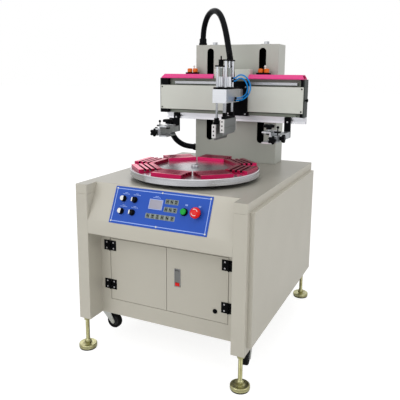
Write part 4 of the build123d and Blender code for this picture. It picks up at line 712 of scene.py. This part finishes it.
def hose_length(name, line, radius, node_name):
    """One length of black hose: a ring carried along points of the route's smooth line.

    The skin has faint rings: radius R*(1 - 0.006 + 0.006*cos(2*pi*s/6 mm)), s the run so far."""
    run = run_along(line)
    swell = 1 - 0.006 + 0.006 * np.cos(TAU * run / (6 * MM))
    ring = on_circle(1.0, np.arange(28) * TAU / 28)
    skin = carried(ring[None, :, :] * (radius * swell)[:, None, None], line)
    made = piece(name, "machine", [("hose", skin)], node_name, smooth=60)
    made.parent = None
    return made


def air_tube(name, route, stands_for):
    """A blue air tube along its route, between two ports on the head."""
    curve = spline_curve(name, route)
    length = run_along(line_of(curve))[-1]
    curve.bevel_depth = TUBE_RADIUS
    curve.bevel_resolution = 4
    curve.use_fill_caps = True
    curve.materials.append(LOOK["tube"])
    made = add_object(name, curve)
    belong(made, "print_head", stands_for)


def hoses():
    """The two black hoses and the two blue air loops.

    The top hose is in two lengths that meet over the beam."""
    line = hose_line("top_hose_line", TOP_ROUTE)
    middle = int(np.argmin(np.linalg.norm(line - at(*OVER_BEAM), axis=1)))
    rising = hose_length("top_hose_rising", line[: middle + 1], TOP_HOSE_RADIUS, "top_hose")
    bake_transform(rising)
    falling = hose_length("top_hose_falling", line[middle:], TOP_HOSE_RADIUS, "top_hose")
    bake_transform(falling)
    line = hose_line("side_hose_line", SIDE_ROUTE)
    side = hose_length("side_hose_drawn", line, SIDE_HOSE_RADIUS, "side_hose")
    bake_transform(side)
    air_tube("air_loop", LOOP_ROUTE, "air_tube")
    air_tube("air_loop_inner", INNER_LOOP_ROUTE, None)
    port = turned([(0, -3), (4.6, -3), (4.6, 7), (3.4, 8), (0, 8)], 24)
    ports = [("moulded", placed(port, at(*place), (1, 0, 0))) for place in INNER_PORTS]
    piece("inner_loop_ports", "print_head", ports)


# Cabinet


def cabinet():
    """Sheet metal of the cabinet, table, column and doors."""
    dressed("cabinet_frame", "cream", 1.5)
    dressed("console_hood", "cream", 0.8)
    # The table's top face takes a darker copy of the cream, a painted shade; its lower faces keep
    # the cream
    dressed("table_top", "cream_top_painted_shade", 2.0, [("cream", zone(z_under=683.5))])
    # Painted shade: the rear cover's face behind the slots and the column's inner faces are
    # near-black, for the dark inside of the column
    painted_shade_behind_slots = zone(side_under=200, depth_over=875.5, depth_under=876.5, z_over=690)
    dressed("cover_panels", "cream", 1.0, [("inside", painted_shade_behind_slots)])
    painted_shade_in_column = zone(side_under=204.5, depth_over=772.9, z_under=COLUMN_LID)
    dressed("column_housing", "column_cream", 1.0, [("inside", painted_shade_in_column)])
    leaf = ("black", zone(side_over=220, depth_under=83.99))
    dressed("door_left", "cream", 0.8, [leaf])
    in_cup = zone(x_over=34.3, x_under=59.7, z_over=306, z_under=379, depth_under=98.5)
    plug = ("black", zone(x_over=189, x_under=217, z_over=227, z_under=255))
    dressed("door_right", "cream", 0.8, [leaf, ("plate", in_cup), plug])
    dressed("latch_handle", "grey_paint", 0.4)
    dressed("latch_button", "red", 0.8)
    dressed("hinge_frame_leaves", "black", 0.4)
    dressed("index_gearbox", "casting", 1.5)
    dressed("drive_motor", "casting", 0.8)
    dressed("electrical_box", "grey_paint", 1.0)
    dressed("input_coupling", "aluminium", 0.6)


def hinge_screws():
    """Four heads on each hinge, two on the frame's leaf and two on the door's."""
    for side, door in ((-1, "left"), (1, "right")):
        for leaf, body, x in (("frame", "machine", 270.5), ("door", f"{door}_door", 239.5)):
            heads = [front_screw(3.2, 1.4, side * x, 82.1, z) for z in (251, 275, 414, 438)]
            shapes = [("screw", head) for head in heads]
            piece(f"{door}_hinge_{leaf}_screws", body, shapes)


# Console

SLOPE_DEPTH, SLOPE_RISE = 65.5, 141.0
SLOPE_UP = np.array([0.0, SLOPE_DEPTH, SLOPE_RISE]) / math.hypot(SLOPE_DEPTH, SLOPE_RISE)
SLOPE_OUT = np.array([0.0, -SLOPE_UP[2], SLOPE_UP[1]])
SLOPE_MIDDLE = at(0, SLOPE_DEPTH / 2, 613.5)
PLATE_FACE = 2.0  # above the sheet under the plate
INK = 0.05  # how far print stands out
DIALS = ((-158, 25), (-110, 25), (-158, -23), (-110, -23))
BUTTONS_X, BUTTONS_UP = (100.5, 151.5), 4
KEY_ROWS = ((44.5, 34, 3, 17.5), (44.5, 5, 3, 17.5), (8, -26, 6, 20))  # middle, up, count, pitch
GLYPHS = (  # each a few bars: x, up, width, height
    ((0, 4.6, 9, 2.2), (0, 0, 2.4, 11), (0, -4.6, 9, 2.2)),
    ((-3, 0, 2.4, 11), (3, 0, 2.4, 11), (0, 0, 7, 2.2)),
    ((-2.6, 1.5, 4, 7), (2.6, -1.5, 4, 7)),
    ((0, 3.2, 9.5, 4), (0, -3.2, 6, 4)),
)


def on_slope(shape, x, up, out=PLATE_FACE):
    """A shape set on the control plate at millimetres from its middle, standing out of it."""
    shift = (np.array([x, 0, 0]) + SLOPE_UP * up + SLOPE_OUT * out) * MM
    return placed(shape, SLOPE_MIDDLE + shift, SLOPE_OUT)


def slope_piece(name, body, shapes, place, node_name):
    """A piece whose shapes all stand at one place on the control plate."""
    set_there = [(look, on_slope(shape, *place)) for look, shape in shapes]
    piece(name, body, set_there, node_name)


def printed_line(width, height, thick):
    """A thin closed frame of ink, as a strip between two rectangles."""
    outer = rounded_rectangle(width, height, 2)
    inner = rounded_rectangle(width - 2 * thick, height - 2 * thick, 1.2)
    low, high = np.zeros((len(outer), 1)), np.full((len(outer), 1), INK)
    rings = ((outer, low), (outer, high), (inner, high), (inner, low))
    return wrap_grid(np.array([np.hstack(ring) for ring in rings]) * MM, capped=False)


def print_rows(rows, size):
    """Rows of small dashes for printed words: each row is its width and its height on the plate."""
    shapes = []
    for width, up in rows:
        count = max(2, round(width / 3.4))
        for k in range(count):
            outline = rounded_rectangle(2.5 if k % 3 else 1.7, size, 0.3)
            dash = slab(outline, 0, INK, 0.02, 1)
            shapes.append(shifted(dash, ((k + 0.5) / count - 0.5) * width, up))
    return shapes


def arc(radius, start, end, thick):
    """A thin printed arc on the plate, its angles in degrees."""
    angle = np.radians(np.linspace(start, end, 40))
    path = np.column_stack([on_circle(radius, angle), np.zeros(len(angle))]) * MM
    half = thick / 2
    return carried(np.array([(-half, 0), (half, 0), (half, 0.06), (-half, 0.06)]) * MM, path)


def key_pads():
    """Rows of keys, each row on its grey field, and on each key a dark sign of a few bars."""
    pad = slab(rounded_rectangle(14, 17, 1.5), 0, 1.2, 0.5)
    shapes = []
    for middle, up, count, pitch in KEY_ROWS:
        field = slab(rounded_rectangle(count * pitch + 1, 18.5, 1.5), 0, 0.4, 0.1)
        shapes.append(("key_field", on_slope(field, middle, up)))
        for k in range(count):
            x = middle + (k - (count - 1) / 2) * pitch
            shapes.append(("key", on_slope(pad, x, up)))
            for right, higher, width, height in GLYPHS[(k + 3 * count) % len(GLYPHS)]:
                bar = slab(rounded_rectangle(width, height, 0.6), 0, 0.12, 0.04, 1)
                sign = on_slope(shifted(bar, right, higher), x, up, PLATE_FACE + 1.15)
                shapes.append(("key_dark", sign))
    return shapes


def console():
    """The blue plate, its ink, screws, display, key pads and button collars."""
    dressed("control_plate", "blue", 0.3)
    shapes = []

    def ink(x, up, *marks):
        shapes.extend(("ink", on_slope(mark, x, up)) for mark in marks)

    ink(0, 0, printed_line(389, 127, 2.6))
    for k, (x, up) in enumerate(DIALS):
        ink(x + 6, up, *print_rows(((14, 23.5), (31, 19.0)), 2.6))
        if k in (0, 2):
            ink(x, up, arc(15.5, -110, 35, 1.2))
    ink(-20, 18, *print_rows(((16, 30), (32, 25.5)), 2.6))
    for x in (104, 156):
        ink(x, 30, *print_rows(((11, 0),), 6.0))
    for x in (-194, 0, 194):
        shapes += [("zinc", on_slope(screw_head(3.6, 2.0), x, up)) for up in (-63, 63)]
    ink(-18, 18, slab(rounded_rectangle(56, 38, 1.5), 0, 3, 0.5))
    glass = slab(rounded_rectangle(52, 34, 1), 2.9, 3.1, 0.05)
    shapes.append(("screen", on_slope(glass, -18, 18)))
    shapes += key_pads()
    ring = [(8, 0), (14, 0), (14, 4.5), (13, 6), (9, 6), (8, 5), (8, 0)]
    collar = turned(ring, 40, capped=False)
    shapes += [("moulded", on_slope(collar, x, BUTTONS_UP)) for x in BUTTONS_X]
    piece("console_fittings", "machine", shapes, "panel_fittings")


def dials():
    """Four pointer knobs: a flared black skirt, a fluted grip and a white mark.

    The left pair has a white cap with its right third cut away: the white is partly the cap's own
    colour and partly a painted highlight, and the cut stands for painted shade on the knob's right
    side. The right pair has a white bar along one side."""
    skirt = [
        (0, 0), (12, 0), (12, 1.2), (11, 3.2), (10, 4.6), (9.8, 11.4), (9.0, 13.0), (7.2, 13.4),
        (0, 13.4),
    ]
    body = turned(skirt, 72, ridges(12, 0.07, 4), [0, 0, 0, 0, 1, 1, 1, 0, 0])
    # The left pair's cap leaves out its right third, a painted shade on that side of the knob, and
    # its white is partly a painted highlight
    cap = on_circle(9.3, np.radians(np.linspace(62, 298, 36)))
    bar = rounded_rectangle(4.6, 15, 1) + [-6.0, 0]
    shaft = turned(pin(3, -8.4, 0.1), 20)
    for k, (x, up) in enumerate(DIALS, 1):
        mark = slab(cap if k % 2 else bar, 12.4, 14.0, 0.2)
        shapes = [("moulded", body), ("white", mark), ("steel", shaft)]
        place = (x, up, PLATE_FACE + 0.5)
        slope_piece(f"dial_{k}_knob", f"knob_{k}", shapes, place, f"dial_{k}")


def turning_arrow(start):
    """A white arrow round the stop button's top, from an angle: a strip that widens to its head."""
    points = 20
    angle = np.linspace(0.3, 2.3, points) + start
    path = np.column_stack([on_circle(10.5, angle), np.full(points, 16.45)]) * MM
    along = np.linspace(0, 1, points)
    width = np.interp(along, [0, 0.7, 0.72, 1], [1.1, 1.1, 2.4, 0.2])
    section = np.array([(-1, 0), (1, 0), (1, 0.15), (-1, 0.15)])
    return carried(np.stack([section * [1.5 * w, 1.6] for w in width]) * MM, path)


def push_buttons():
    """The green start button and the red mushroom head with its turning arrows."""
    cap = [(0, 0), (11, 0), (11, 3.4), (10.2, 4.6), (8.8, 5.0), (4, 5.35), (0, 5.4)]
    start = [("green", turned(cap, 48)), ("moulded", turned(pin(7.95, -11.5, 0.1), 32))]
    place = (BUTTONS_X[0], BUTTONS_UP, 11.5)
    slope_piece("start_button_cap", "start_cap", start, place, "start_button")
    head = [
        (0, 0), (15.5, 0), (18.5, 2.6), (20, 5.6), (20, 8.4), (18.6, 12.2), (15.2, 15.2),
        (10, 16.6), (0, 17),
    ]
    stop = [("red", turned(head, 64)), ("moulded", turned(pin(7.95, -12.5, 0.1), 32))]
    stop += [("white", turning_arrow(turn)) for turn in (0, math.pi)]
    place = (BUTTONS_X[1], BUTTONS_UP, 14.5)
    slope_piece("stop_button_head", "stop_head", stop, place, "stop_button")


# Feet and casters

ROD_RADIUS, THREAD_PITCH, THREAD_DEPTH = 8, 2, 0.55
CORNERS = (
    ("front_left", -1, -1), ("front_right", 1, -1), ("rear_left", -1, 1), ("rear_right", 1, 1),
)
CASTERS = (  # name, X, depth and how far the fork trails round
    ("front_left", -311, 145, 0), ("front_right", 311, 145, -80),
    ("rear_left", -283, 763, 90), ("rear_right", 283, 763, 90),
)
WHEEL_HEIGHT, TRAIL = 71.5, 28  # the axle's height, and its distance from the swivel


def levelling_feet():
    """Rubber pad, pressed drum, cone, nut and threaded rod.

    The rod's radius is R - D*(0.5 - 0.5*cos(2*pi*z/P)), P the thread's pitch and D its depth."""
    heights = np.arange(38, 180.01, 0.5)
    wave = 0.5 - 0.5 * np.cos(TAU * heights / THREAD_PITCH)
    thread = list(zip(ROD_RADIUS - THREAD_DEPTH * wave, heights))
    drum = [
        (0, 5), (35, 5), (36, 6), (36, 9), (35.6, 9.6), (36, 10.2), (36, 16), (35.7, 17.5),
        (34.8, 18.8), (33.5, 19.7), (32, 20), (27, 20), (26, 19.4), (19, 19.4), (18, 20), (0, 20),
    ]
    nut = [(0, 20), (12.4, 20), (13.86, 21), (13.86, 31), (12.4, 32), (0, 32)]
    shapes = [
        ("rubber", turned([(0, 0), (33.4, 0), (34, 0.8), (34, 5.1), (0, 5.1)], 64)),
        ("gold_zinc", turned(drum, 72)),
        ("gold_zinc", turned([(0, 31.9), (10.6, 31.9), (11, 32.6), (8.4, 37.6), (0, 38)], 36)),
        ("gold_zinc", turned(nut, 48, hexagon, [0, 0.6, 1, 1, 0.6, 0])),
        ("gold_zinc", turned([(0, 37)] + thread + [(0, 180)], 24)),
    ]
    for name, sx, sy in CORNERS:
        origin = (sx * FOOT_X * MM, sy * FOOT_Y * MM, 0)
        foot = [(look, placed(shape, origin)) for look, shape in shapes]
        piece(f"foot_{name}_turned", f"{name}_foot", foot, f"foot_{name}")


def casters():
    """Wheels with a soft tyre on a recessed hub, the pressed forks and the frame's fixings."""
    tyre = [
        (22, -10.5), (23.6, -11.9), (27.5, -11.9), (30, -9.8), (31.2, -7.6), (31.5, -5),
        (31.5, 5), (31.2, 7.6), (30, 9.8), (27.5, 11.9), (23.6, 11.9), (22, 10.5), (22, -10.5),
    ]
    hub = [
        (4.05, -12), (11.6, -12), (12.8, -11.4), (15, -7), (21, -6.8), (23, -10), (23, 10),
        (21, 6.8), (15, 7), (12.8, 11.4), (11.6, 12), (4.05, 12), (4.05, -12),
    ]
    profiles = (("rubber", tyre), ("wheel_hub", hub))
    rings = [(look, turned(profile, 56, capped=False)) for look, profile in profiles]
    for name, x, depth, turn in CASTERS:
        angle = math.radians(turn)
        trail = np.array([math.cos(angle), math.sin(angle), 0])
        axle = np.array([-math.sin(angle), math.cos(angle), 0])
        centre = at(x, depth, WHEEL_HEIGHT) + trail * TRAIL * MM
        wheel = [(look, placed(ring, centre, axle)) for look, ring in rings]
        replaced = f"caster_wheel_{name}"
        piece(f"{replaced}_turned", f"{name}_wheel", wheel, replaced)
    for side in ("left", "right"):
        dressed(f"caster_fork_front_{side}", "zinc", 0.6)
    foot = np.array([FOOT_X, FOOT_Y]) * MM
    nuts = ("gold_zinc", lambda c: np.max(np.abs(np.abs(c[:, :2]) - foot), axis=1) < 14.2 * MM)
    dressed("frame_hardware", "zinc", 0.6, [nuts])


# Turntable


def turntable():
    """The turned disc, its flange and cap, and the eight grooved blocks."""
    origin = at(0, DISC_DEPTH, 0)
    outer = DISC_RADIUS - 2
    disc = [
        (0, 698.6), (outer, 698.6), (DISC_RADIUS, 700.6), (DISC_RADIUS, 711),
        (DISC_RADIUS - 0.4, 711.4), (DISC_RADIUS, 711.8), (DISC_RADIUS, 723.6), (outer, 725.6),
        (15, 725.6), (0, 725.6),
    ]
    edge = (outer + 0.2) * MM
    rim = ("disc_rim", lambda c: np.hypot(c[:, 0], c[:, 1] - origin[1]) > edge)
    # The disc's underside is near-black, a painted shade under the disc that also darkens its
    # reflection in the table
    under = ("inside", zone(z_under=700.1))
    shape = ("disc", placed(turned(disc, 180), origin))
    name = "turntable_disc"
    piece(f"{name}_turned", "turntable", [shape], name, masks=[rim, under])
    hub = [(0, 620), (45, 620), (45, 692.6), (75, 692.6), (75, 698.5), (0, 698.5)]
    cap = [(0, 725.5), (15, 725.5), (15, 732.6), (14.4, 733.8), (13, 734.6), (0, 734.6)]
    shapes = [("steel", placed(turned(profile, 64), origin)) for profile in (hub, cap)]
    for x, y in on_circle(9, np.arange(4) * TAU / 4):
        spot = at(x, DISC_DEPTH + y, 734.4)
        shapes.append(("black", placed(screw_head(2.2, 0.5), spot)))
    piece("turntable_hub_turned", "turntable", shapes, "turntable_hub")
    # The grooves' bottoms and sides are a darker pink, a painted shade in the grooves
    painted_shade_floors = ("pink_groove", zone(z_over=730.3, z_under=730.9))
    painted_shade_walls = ("groove_wall_painted_shade", zone(z_over=734.8, z_under=735.4))
    dressed("fixture_blocks", "pink_anodised", 0.7, [painted_shade_floors, painted_shade_walls])


# Column and beam


def setting_screws():
    """Two pairs of knurled orange knobs and a bright post on each black bracket."""
    grip = [(0, 0), (10.5, 0), (12, 1.4), (12, 15.2), (11, 17.4), (8.5, 18.4), (4, 19), (0, 19)]
    knob = turned(grip, 96, ridges(16, 0.08), [0, 0.5, 1, 1, 0.6, 0, 0, 0])
    profile = [
        (0, 0), (4, 0), (4, 21), (3, 22), (3, 24), (4.6, 25.6), (5.4, 28), (4.8, 30.8), (3, 32.6),
        (0, 33),
    ]
    post = turned(profile, 28)
    base = slab(rounded_rectangle(64, 26, 3), 0, 8, 1)
    depth, foot = 735, 1100
    shapes = []
    for middle in (-209.5, 149.5):
        shapes.append(("black", placed(base, at(middle, depth, foot))))
        for x in (middle - 14.25, middle + 14.25):
            shapes.append(("orange", placed(knob, at(x, depth, foot + 8))))
        shapes.append(("white", placed(post, at(middle + 5, depth + 7, foot + 8))))
    piece("setting_screws", "beam", shapes, "thumb_screws")


def beam():
    """The lifting beam with its covers, rails and setting screws, and the lift behind it."""
    # Painted shade: below the column's lid the lift unit is black, and the arms' ends in the column
    # are near-black, for the column's dark inside
    dressed("lift_unit", "steel", 0.6, [("black", zone(z_under=COLUMN_LID))])
    dressed("lift_arms", "aluminium", 1.0, [("inside", zone(depth_over=776))])
    dressed("beam_channel", "channel", 0.8)
    plates = zone(side_over=349.9, side_under=356.1, z_under=1080.5, depth_under=740.5)
    dressed("beam_ends", "black", 0.5, [("end_plate", plates)])
    screws = ("black", zone(depth_under=674.99))
    dressed("beam_covers", "beam_cream", 0.8, [screws])
    dressed("pink_covers", "pink", 0.8)
    stops = ("moulded", either(zone(x_under=-311.5), zone(x_over=337.5)))
    lower = ("channel", zone(x_over=-300, x_under=330, z_under=950))
    dressed("linear_rails", "steel", 0.3, [stops, lower])
    dressed("screen_rail", "aluminium_pale", 0.4)
    setting_screws()


def column_unions():
    """Black unions where the hoses leave the column: wide round foot, knurled nut, rounded lip."""
    radius, height = 17.4, 33
    shapes = []
    for bore, route, axis in ((13.6, TOP_ROUTE, (0, 0, 1)), (14.5, SIDE_ROUTE, (-1, 0, 0))):
        profile = [
            (bore, 0), (radius * 1.13, 0), (radius * 1.13, height * 0.3), (radius, height * 0.36),
            (radius, height * 0.86), (radius * 0.92, height * 0.97), (bore + 0.6, height),
            (bore, height * 0.97), (bore, 0),
        ]
        ring = turned(profile, 72, ridges(18, 0.05), [0, 0, 0, 1, 1, 0, 0, 0, 0], capped=False)
        shapes.append(("moulded", placed(ring, at(*route[0]), axis)))
    piece("column_unions", "machine", shapes, "hose_glands")


# Print head

SLIDES = (("squeegee", "squeegee", 31, 0), ("flood", "flood_bar", 69, 24))  # name, body, X, lift
HOLDER_HALF = 66  # half of a blade holder's length


def head():
    """The carriage plate, the head block and its two cylinders."""
    dressed("carriage_plate", "black", 0.8, [("screw", zone(depth_under=659.99))])
    bracket = ("aluminium_pale", zone(depth_over=607.1))
    dressed("head_block", "aluminium", 1.0, [bracket])
    cylinders = {"depth_under": 530, "x_under": 80.8}
    barrels = ("barrel", zone(z_over=1046.1, **cylinders))
    necks = ("neck", zone(z_over=1090.1, **cylinders))
    dressed("head_top", "black", 0.6, [barrels, necks])


def slides():
    """Squeegee and flood bar: rods, bars and holders with finishes by place, and clip screws."""
    for name, body, x, lift in SLIDES:
        rods = ("chrome", zone(z_over=916.5 + lift, z_under=1130.5 + lift))
        nut = ("moulded", zone(z_over=1137 + lift))
        dressed(f"{name}_slide", "black", 0.4, [rods, nut])
        ends = either(
            zone(x_under=x - 3.01),
            zone(depth_under=BLADE_DEPTH - HOLDER_HALF - 0.2),
            zone(depth_over=BLADE_DEPTH + HOLDER_HALF + 0.2),
        )
        blade = ("steel" if lift else "grey_paint", zone(z_under=833 + lift))
        dressed(f"{name}_holder", "grey_holder", 0.6, [("white", ends), blade])
        front = BLADE_DEPTH - HOLDER_HALF - 6
        heads = [front_screw(3.2, 1.6, x, front, z + lift) for z in (845, 862, 880)]
        piece(f"{name}_clip_screws", body, [("black", head) for head in heads])


def star(radius, height):
    """A star knob: the radius waves with the lobes, and the top swells into a low dome."""
    neck, shoulder = radius * 0.5, radius * 0.9
    profile = [
        (0, 0), (neck, 0), (neck, height * 0.33), (shoulder, height * 0.36),
        (radius, height * 0.46), (radius, height * 0.82), (radius * 0.93, height * 0.94),
        (radius * 0.7, height), (radius * 0.3, height), (0, height),
    ]
    return turned(profile, 100, star_lobes, [0, 0, 0, 1, 1, 1, 1, 0.6, 0, 0])


def clamps():
    """Screen frame clamps: machined arms on black brackets with star knobs."""
    front_knob = zone(depth_under=489.99)
    outer_knob = zone(side_over=293.05, depth_under=600)
    bracket = ("black", zone(depth_over=697.99))
    lever = ("moulded", zone(side_over=265.5, z_over=850.2, depth_under=600))
    rod = turned(pin(5, 854, 873.2), 24)
    pad = turned([(0, 850), (10, 850), (11, 851), (11, 854), (10, 855), (0, 855)], 32)
    for side, name in ((-1, "left"), (1, "right")):
        extra = [
            ("moulded", placed(star(18, 21), at(side * 279, 490, 836), (0, -1, 0))),
            ("moulded", placed(star(18, 21), at(side * 293, CLAMP_DEPTH, 836), (side, 0, 0))),
            ("screw", front_screw(4.5, 3, side * 279, 698, 892)),
        ]
        masks, drop = [bracket, lever], either(front_knob, outer_knob)
        dressed(f"clamp_{name}", "clamp_grey", 0.6, masks, drop, extra)
        x = side * 242.5
        shapes = [
            ("moulded", placed(star(24, 21), at(x, CLAMP_DEPTH, 873))),
            ("steel", placed(rod, at(x, CLAMP_DEPTH, 0))),
            ("rubber", placed(pad, at(x, CLAMP_DEPTH, 0))),
        ]
        replaced = f"clamp_{name}_screw"
        piece(f"clamp_{name}_presser", f"{name}_clamp_screw", shapes, replaced)


camera()
lamps()
white_world()
pale_floor()
bpy.context.scene.view_settings.view_transform = "Standard"

hoses()
cabinet()
hinge_screws()
console()
dials()
push_buttons()
levelling_feet()
casters()
turntable()
beam()
column_unions()
head()
slides()
clamps()
